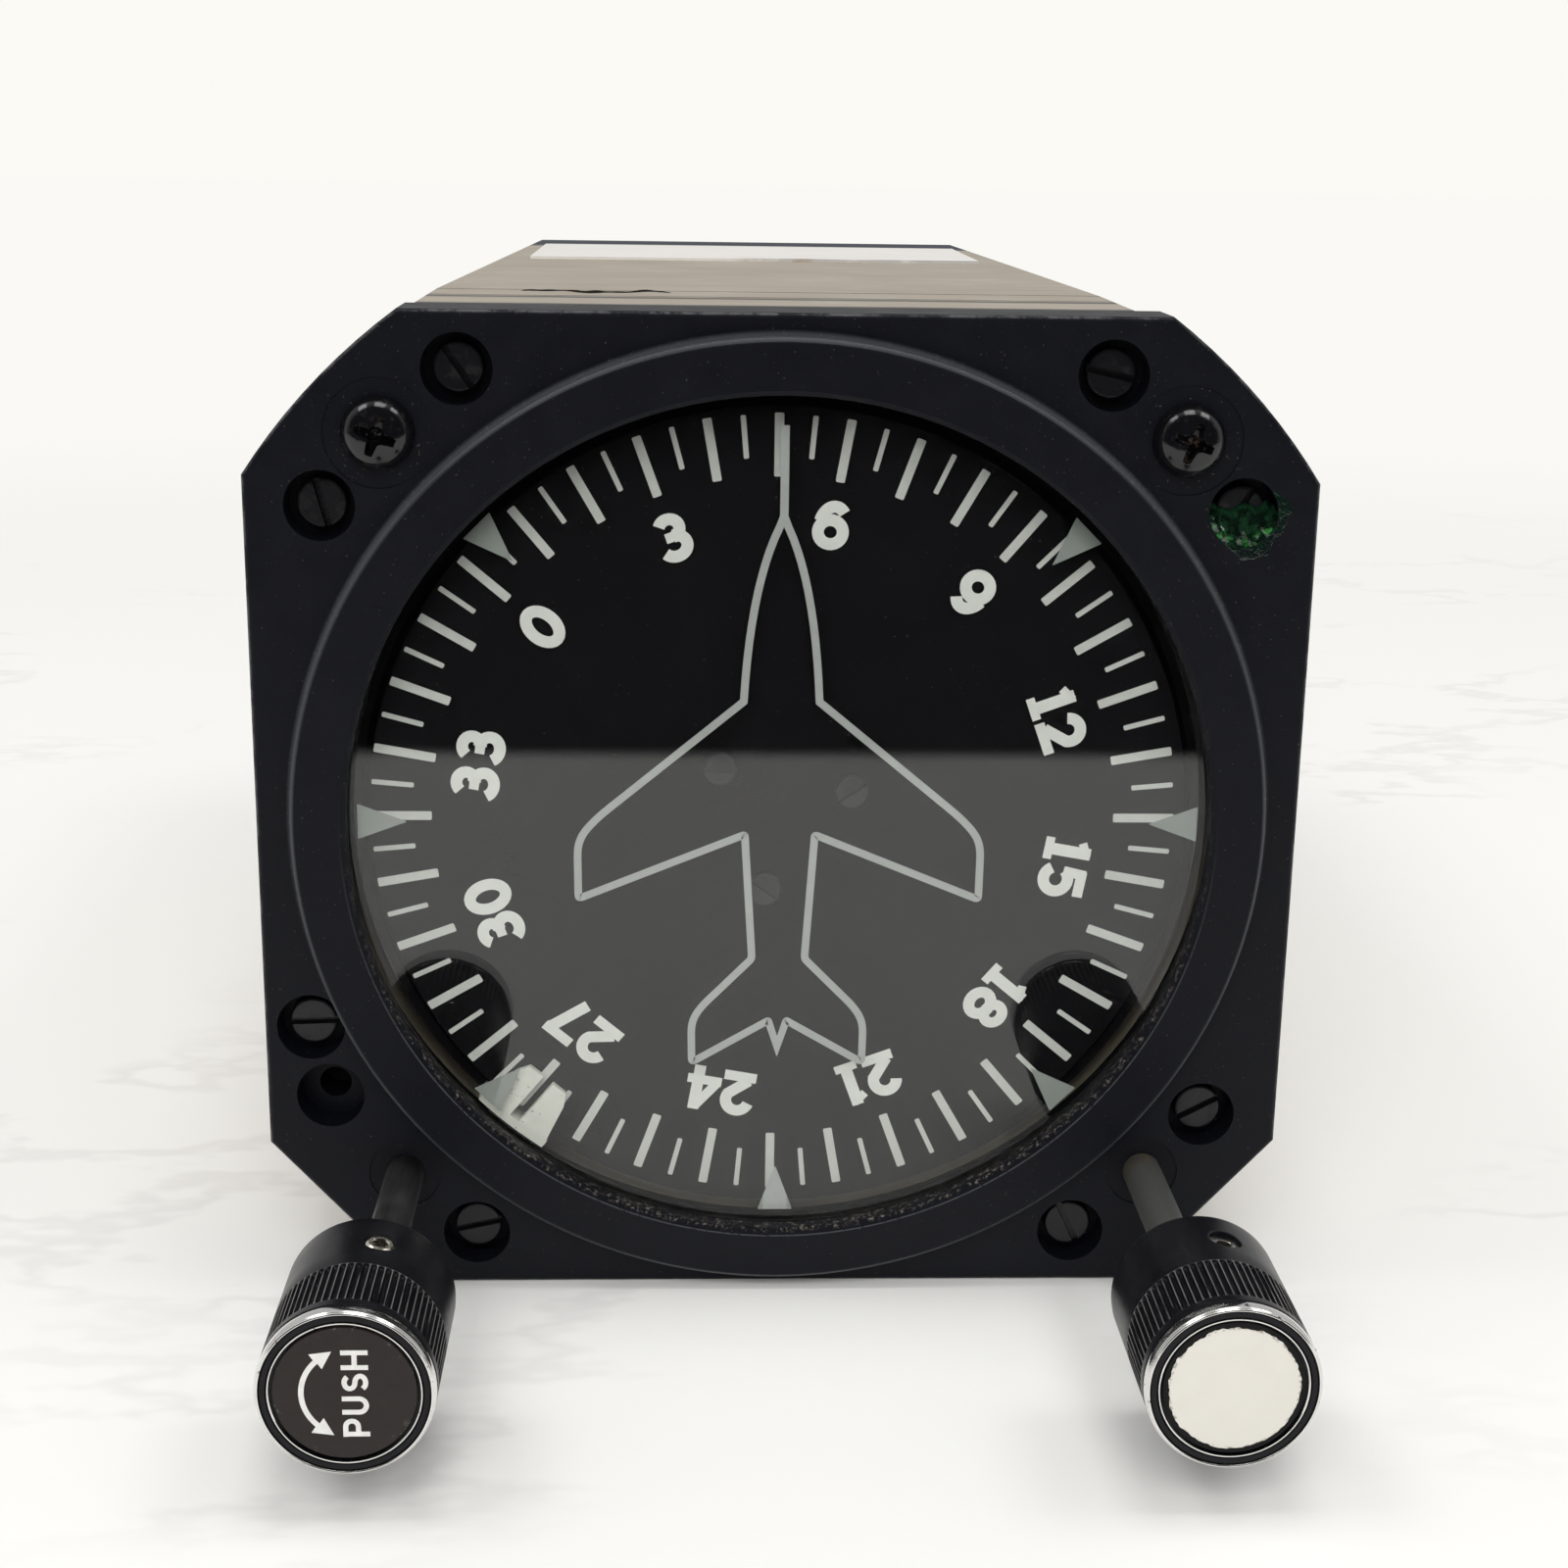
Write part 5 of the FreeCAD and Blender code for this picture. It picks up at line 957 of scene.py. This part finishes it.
spot = sign_paint.place()
cloud = sign_paint.grain(spot, 1.6, 4.0)
tone = sign_paint.mix(cloud, (0.62, 0.61, 0.58), (0.84, 0.83, 0.80))
sign_paint.shade({"Base Color": tone, "Roughness": 0.5 + 0.2 * cloud}, cloud, 0.02)
piece("set_knob_sign", sign, "set_knob", sign_paint.material)

white = Finish("white_label")
spot = white.place()
x, z = white.parts(spot, "xz")
cloud = white.grain(spot, 0.6, 4.0)
grime = white.step(white.distance(x - knob_place[0], z - knob_place[1]), 4.45, 4.72)
grime = grime * white.step(white.grain(spot, 2.2, 5.0), 0.46, 0.6)
tone = white.mix(cloud, (0.675, 0.65, 0.59), (0.725, 0.70, 0.64))
tone = white.mix(grime * 0.8, tone, (0.16, 0.12, 0.08))
white.shade({"Base Color": tone, "Roughness": 0.4 + 0.15 * cloud}, cloud, 0.02)
dark_disc = sheet_rubber("label_backing", (0.008, 0.008, 0.008))
backing = piece("bug_knob_backing", [disc_face(knob_place, 5.05)], "bug_knob", dark_disc)
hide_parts("bug_knob_disc")
label = disc_face(knob_place, 4.68, face_y - label_thickness, label_thickness, 0.12)
piece("bug_knob_label", [label], "bug_knob", white.material)


# Grub screws, shafts and bushes: plain steel screws and shafts, in bushes painted with the flange. The
# left shaft is dark and polished by sliding; the right one is dull grey-green, with rust-brown dust at its
# bush.
grub = drawn_steel("grub_screw_steel", (0.30, 0.27, 0.22), (0.72, 0.70, 0.66), (1.0, 1.0, 1.0), 0.16)
cover(grub, "set_knob_set_screw", "bug_knob_set_screw")


def grub_rim(side, sink):
    """A chamfered ring on the grub screw's end, laid across the skirt's hole."""
    up = np.array([math.sin(hole_turn), 0.0, math.cos(hole_turn)])
    across = np.array([math.cos(hole_turn), 0.0, -math.sin(hole_turn)])
    depth = np.array([0.0, 1.0, 0.0])
    start = np.array([side * knob_place[0], hole_y, knob_place[1]])
    turn = (np.arange(40) * 2 * math.pi / 40)[None, :, None]
    profile = [(0.6, -0.5), (0.6, -0.1), (0.68, 0.0), (0.9, 0.0), (1.16, -0.22), (1.16, -0.5)]
    rows = np.array(profile)[:, None, :]
    grid = start + rows[..., :1] * (np.cos(turn) * across + np.sin(turn) * depth)
    return [(grid + (knob_radius - sink + rows[..., 1:]) * up, True, True)]


bright_grub = drawn_steel("bright_grub_steel", (0.62, 0.57, 0.47), (0.86, 0.82, 0.73), (1.0, 1.0, 1.0), 0.1)
piece("set_knob_grub_rim", grub_rim(-1, 0.1), "set_knob", bright_grub)
piece("bug_knob_grub_rim", grub_rim(1, 0.42), "bug_knob", grub)

dark_shaft = drawn_steel("set_shaft_steel", (0.08, 0.08, 0.082), (0.34, 0.335, 0.33), (2.0, 0.12, 2.0), 0.32)
cover(dark_shaft, "set_shaft")
dull_shaft = Finish("bug_shaft_steel")
spot = dull_shaft.place()
(y,) = dull_shaft.parts(spot, "y")
fine = dull_shaft.grain(spot, 4.5, 3.0)
rust = dull_shaft.step(y, -3.2, -0.3) * dull_shaft.step(dull_shaft.grain(spot, 1.3, 4.0), 0.4, 0.6)
tone = dull_shaft.mix(fine, (0.060, 0.063, 0.058), (0.115, 0.118, 0.11))
tone = dull_shaft.mix(rust * 0.7, tone, (0.14, 0.10, 0.06))
dull_shaft.shade({"Base Color": tone, "Metallic": 0.4, "Roughness": 0.5 + 0.2 * fine}, fine, 0.02)
cover(dull_shaft.material, "bug_shaft")

bushing = Finish("bush_enamel")
spot = bushing.place()
cloud = bushing.grain(spot, 1.2, 4.0)
tone = bushing.mix(cloud, (0.0045, 0.0048, 0.0070), (0.0085, 0.0085, 0.0105))
bush_dust = 0.104
crumbs = bushing.step(bushing.grain(spot, 2.6, 5.0, 0.7), 0.6, 0.68) * bush_dust
tone = bushing.mix(crumbs * 0.6, tone, (0.16, 0.12, 0.08))
look = {"Base Color": tone, "Roughness": 0.5 + 0.2 * cloud, "Specular IOR Level": 0.15}
bushing.shade(look, cloud + crumbs, 0.03)
cover(bushing.material, "shaft_bushes")


# Gears and return spring: the pinions and idlers behind the front wall are cut from brass. A wire spring
# lies between the fork, which the left knob pushes, and the fixed support plate.
gear_brass = machined("cut_brass", (0.50, 0.35, 0.14), (0.76, 0.58, 0.30), 0.22)
cover(gear_brass, "bug_idler_gear", "set_idler_gear", "bug_pinion", "set_pinion")
spring_first, spring_last = 13.275, 17.825
spring_radius, wire_radius, spring_turns = 3.15, 0.175, 3


def coil(x, z, first, last, radius, wire, turns):
    """A coil spring: a circle of the wire's radius carried along a helix round a line parallel to y."""
    turn = np.linspace(0.0, turns * 2 * math.pi, 32 * turns + 1)[:, None]
    section = (np.arange(10) * 2 * math.pi / 10)[None, :]
    reach = radius + wire * np.cos(section)
    y = first + (last - first) * turn / turn[-1] + wire * np.sin(section)
    grid = np.stack([x + reach * np.cos(turn), y, z + reach * np.sin(turn)], -1)
    caps = [np.repeat(grid[k].mean(0)[None, None], 10, 1) for k in (0, -1)]
    return np.concatenate([caps[0], grid, caps[1]]), False, True


at = (-knob_place[0], knob_place[1])
wound = [coil(*at, spring_first, spring_last, spring_radius, wire_radius, spring_turns)]
spring = piece("return_spring_coil", wound, None, spring_wire)
ends = [(at[0] * 0.001, y * 0.001, at[1] * 0.001) for y in (spring_first, spring_last)]
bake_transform(spring)
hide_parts("return_spring")


# Case: two cast and machined halves with the mechanism's frame clamped between them, in thin grey-brown
# enamel that shines along its draw marks. Black sealant from the gaskets has spread along a joint of the
# top, and a dark band just behind the flange is painted shade for the gap there. An old bead of sealant
# lies behind them, and the rear cover's dark paint laps over the case's rear edge.
flat_gasket = sheet_rubber("case_gasket", (0.006, 0.006, 0.006))
cover(flat_gasket, "bezel_gasket", "frame_gaskets", "rear_gasket")

case_top = 39.6
case_paint = Finish("case_enamel")
spot = case_paint.place()
y, z = case_paint.parts(spot, "yz")
streaks = case_paint.grain(case_paint.place((0.10, 2.2, 0.10)), 0.55, 4.0)
cloud = case_paint.grain(spot, 0.07, 5.0, 0.6)
rub = case_paint.step(case_paint.grain(case_paint.place((0.3, 1.0, 0.3)), 0.35, 5.0, 0.65), 0.5, 0.72)
tone = case_paint.mix(cloud, (0.34, 0.285, 0.205), (0.52, 0.455, 0.36))
tone = case_paint.mix(streaks * 0.5, tone, (0.14, 0.118, 0.09))
tone = case_paint.mix(rub * 0.4, tone, (0.54, 0.51, 0.46))
waver = 1.2 * case_paint.grain(case_paint.place((1.0, 0.0, 0.0)), 0.12, 3.0)
# The band at 33.6 is sealant on a joint; the band at 24.6, just behind the flange, is painted shade for the
# gap.
joints_and_gap_shade = case_paint.near(y, 33.6 + waver, 2.0) + case_paint.near(y, 24.6 + waver, 1.6)
joints_and_gap_shade = joints_and_gap_shade * case_paint.step(z, case_top - 0.6, case_top - 0.1)
tone = case_paint.mix(joints_and_gap_shade * 0.9, tone, (0.012, 0.011, 0.010))
tone = case_paint.mix(case_paint.step(y, 129.9, 130.2), tone, (0.034, 0.040, 0.050))
case_paint.shade(
    {"Base Color": tone, "Metallic": 0.1, "Roughness": 0.34 + 0.2 * streaks + 0.12 * rub},
    streaks + 0.4 * case_paint.grain(spot, 2.0, 3.0),
    0.03,
)
cover(case_paint.material, "front_housing", "mechanism_frame", "case_body")


def sealant_line():
    """A bead of old sealant: a half-round section carried along a wavy line across the case's top."""
    s = np.linspace(0.0, 1.0, 90)[:, None]
    way = np.linspace(0.0, math.pi, 9)[None, :]
    x = -23.2 + 14.0 * s
    y = 41.4 + 1.1 * np.sin(9 * s) + 0.5 * np.sin(23 * s + 1)
    size = (0.34 + 0.1 * np.sin(17 * s) + 0.06 * np.sin(41 * s)) * np.sin(math.pi * s) ** 0.3
    bead = np.stack([x + 0 * way, y + size * np.cos(way), case_top + size * 0.45 * np.sin(way)], -1)
    return [(bead, False, True)]


piece("sealant", sealant_line(), "case", flat_gasket, crease=60.0)


# Rear cover, filter and screws: the cover and the filter's cap are in dark blue-grey enamel, the filter is
# felt, and long steel screws tie the case's halves together.
cover_paint = Finish("cover_enamel")
spot = cover_paint.place()
cloud = cover_paint.grain(spot, 0.12, 5.0, 0.6)
rub = cover_paint.step(cover_paint.grain(spot, 0.8, 4.0), 0.62, 0.74)
tone = cover_paint.mix(cloud, (0.030, 0.036, 0.046), (0.052, 0.060, 0.074))
tone = cover_paint.mix(rub * 0.15, tone, (0.22, 0.22, 0.22))
look = {"Base Color": tone, "Roughness": 0.52 + 0.2 * cloud, "Specular IOR Level": 0.15}
cover_paint.shade(look, cover_paint.grain(spot, 2.6, 3.0), 0.03)
cover(cover_paint.material, "rear_cover", "filter_cap")

felt = Finish("filter_felt")
fibres = felt.grain(felt.place((1.0, 1.0, 4.0)), 1.6, 6.0, 0.7)
tone = felt.mix(fibres, (0.42, 0.38, 0.30), (0.72, 0.69, 0.60))
felt.shade({"Base Color": tone, "Roughness": 0.9 + 0.1 * fibres, "Sheen Weight": 0.4}, fibres, 0.15)
cover(felt.material, "inlet_filter")
cover(oxide.material, "plate_screws")
cover(drawn_steel("tie_screw_steel", (0.16, 0.155, 0.15), (0.34, 0.33, 0.32), (1, 1, 1), 0.3), "tie_screws")


# Data plate: thin anodised aluminium stuck to the top, bare. A dark band runs along its back edge and part
# of its front one, which also has a smear of old glue.
plate_front, plate_back = 98.0, 130.0
plate = Finish("anodised_plate")
spot = plate.place()
x, y = plate.parts(spot, "xy")
cloud = plate.grain(spot, 0.16, 4.0)
brushed = plate.grain(plate.place((0.05, 3.0, 1.0)), 0.9, 3.0)
border = plate.near(y, plate_front + 0.5, 0.8) * plate.step(x, -6.0, 2.0) * plate.step(cloud, 0.35, 0.5)
border = plate.math("MAXIMUM", border, plate.step(y, plate_back - 1.4, plate_back - 1.0))
glue = plate.step(plate.grain(plate.place((0.6, 1.6, 1.0)), 0.3, 4.0), 0.46, 0.58)
glue = glue * plate.near(x, 3.0, 6.5) * plate.step(y, 104.0, 99.0)
tone = plate.mix(cloud, (0.82, 0.785, 0.735), (0.90, 0.875, 0.83))
tone = plate.mix(border, tone, (0.02, 0.02, 0.022))
tone = plate.mix(glue * 0.8, tone, (0.28, 0.15, 0.05))
plate.shade(
    {"Base Color": tone, "Metallic": 0.15 - 0.15 * border, "Roughness": 0.3 + 0.15 * brushed},
    brushed,
    0.004,
)
cover(plate.material, "data_plate")


# Mechanism: the dial's mitre gears, the two gimbals and the rotor, machined from aluminium, brass and
# steel, as such a gyro has them behind its support plate. It is hidden by the case.
milled = machined("milled_aluminium", (0.50, 0.50, 0.51), (0.76, 0.76, 0.77), 0.26)
cover(milled, "outer_gimbal", "gimbal_bevel_gear", "dial_bevel_gear")
cover(milled, "rotor_case", "rotor_covers", "air_duct")
cover(ground_steel, "gimbal_pivots", "trunnions", "rotor_shaft")
cover(machined("rotor_brass", (0.46, 0.32, 0.13), (0.72, 0.54, 0.26), 0.18, (0.0, 0.0)), "rotor")
cover(gear_brass, "air_nozzles")
race = drawn_steel("bearing_steel", (0.48, 0.48, 0.48), (0.78, 0.78, 0.77), (1.0, 1.0, 1.0), 0.12)
cover(race, "arbor_bearings", "pivot_bearings", "trunnion_bearings", "rotor_bearings")


# Setting: a pale veined floor under the flange's lower edge, in an even white surround, with three ceiling
# lamps and a large soft lamp in front. What a reflection sees past the floor's near edge is a dark room.
floor_level = flange_bottom
floor_grid = np.array([[(u, v, floor_level) for u in (-3000.0, 3000.0)] for v in (-3000.0, 4000.0)])
floor_paint = Finish("pale_floor")
spot = floor_paint.place()
x, y = floor_paint.parts(spot, "xy")
vein = floor_paint.grain(floor_paint.place((0.5, 1.0, 1.0)), 0.03, 5.0, 0.6)
vein = floor_paint.near(vein, 0.5, 0.035) * floor_paint.step(floor_paint.grain(spot, 0.012, 2.0), 0.5, 0.62)
tone = floor_paint.mix(vein * 0.3, (0.905, 0.897, 0.87), (0.66, 0.645, 0.63))
matt = floor_paint.node("BsdfDiffuse", inputs={"Color": tone})
camera_ray, glossy_ray = floor_paint.rays("Camera", "Glossy")
far = floor_paint.node("Emission", inputs={"Color": (0.955, 0.945, 0.910, 1.0), "Strength": 1.0})
outside = floor_paint.step(floor_paint.distance(x, y), 200.0, 620.0)
seen = floor_paint.node("MixShader", inputs={0: camera_ray * outside, 1: matt, 2: far})
room = floor_paint.node("Emission", inputs={"Color": (0.008, 0.008, 0.009, 1.0), "Strength": 1.0})
ahead = floor_paint.step(y, -172.0, -182.0) * glossy_ray
floor_paint.show(floor_paint.node("MixShader", inputs={0: ahead, 1: seen, 2: room}))
floor_mesh = bpy.data.meshes.new("floor")
floor_mesh.from_pydata((floor_grid.reshape(-1, 3) * 0.001).tolist(), [], [(0, 1, 3, 2)])
floor_mesh.materials.append(floor_paint.material)
floor = bpy.data.objects.new("floor", floor_mesh)
bpy.context.scene.collection.objects.link(floor)

surround = Finish("surround", bpy.data.worlds.new("surround"))
(y,) = surround.parts(surround.node("TexCoord", output="Generated"), "y")
camera_ray, glossy_ray = surround.rays("Camera", "Glossy")
even = surround.node("Background", inputs={"Color": (1.0, 1.0, 1.0, 1.0), "Strength": 0.55})
seen = surround.node("Background", inputs={"Color": (0.965, 0.95, 0.91, 1.0), "Strength": 1.0})
dark = surround.node("Background", inputs={"Color": (0.009, 0.009, 0.010, 1.0), "Strength": 1.0})
ahead = surround.step(y, 0.05, -0.25) * glossy_ray
light = surround.node("MixShader", inputs={0: ahead, 1: even, 2: dark})
surround.show(surround.node("MixShader", inputs={0: camera_ray, 1: light, 2: seen}))
bpy.context.scene.world = surround.material


def standing(side, up, back, place):
    """The matrix that puts an object at a place, with these three directions as its own axes."""
    rows = [[*row, p] for row, p in zip(np.stack([side, up, back], 1).tolist(), place)]
    return Matrix([*rows, [0.0, 0.0, 0.0, 1.0]])


def soft_lamp(name, place, towards, size, power):
    """A square soft lamp, in metres and watts, that shines from its place towards another."""
    lamp = bpy.data.lights.new(name, "AREA")
    lamp.size = size
    lamp.energy = power
    holder = bpy.data.objects.new(name, lamp)
    bpy.context.scene.collection.objects.link(holder)
    back = np.array(place, float) - np.array(towards, float)
    back /= np.linalg.norm(back)
    side = np.cross((0.0, 1.0, 0.0), back)
    side /= np.linalg.norm(side)
    up = np.cross(back, side)
    holder.matrix_world = standing(side, up, back, place)
    return holder


for name, across in (("left_lamp", -0.62), ("middle_lamp", 0.05), ("right_lamp", 0.66)):
    soft_lamp(name, (across, 0.02, 0.95), (0.0, 0.02, 0.0), 0.34, 1.5)
front_lamp = soft_lamp("front_lamp", (-0.1, -0.95, 0.75), (0.0, 0.0, 0.0), 0.8, 7.5)
front_lamp.visible_glossy = False


# Camera: a phone held in front of the dial, above it and a little to the left.
camera_place = (-0.00727, -0.18679, 0.05442)
pitch, yaw, roll = math.radians(15.20), math.radians(2.299), math.radians(0.836)
ahead = np.array([math.sin(yaw) * math.cos(pitch), math.cos(yaw) * math.cos(pitch), -math.sin(pitch)])
level = np.array([math.cos(yaw), -math.sin(yaw), 0.0])
above = np.cross(level, ahead)
right = math.cos(roll) * level + math.sin(roll) * above
up = math.cos(roll) * above - math.sin(roll) * level
lens = bpy.data.cameras.new("camera")
lens.sensor_width = 36.0
lens.lens = 55.33
lens.clip_start = 0.005
lens.clip_end = 20.0
camera = bpy.data.objects.new("camera", lens)
bpy.context.scene.collection.objects.link(camera)
camera.matrix_world = standing(right, up, -ahead, camera_place)
bpy.context.scene.camera = camera
bpy.context.scene.view_settings.view_transform = "Standard"
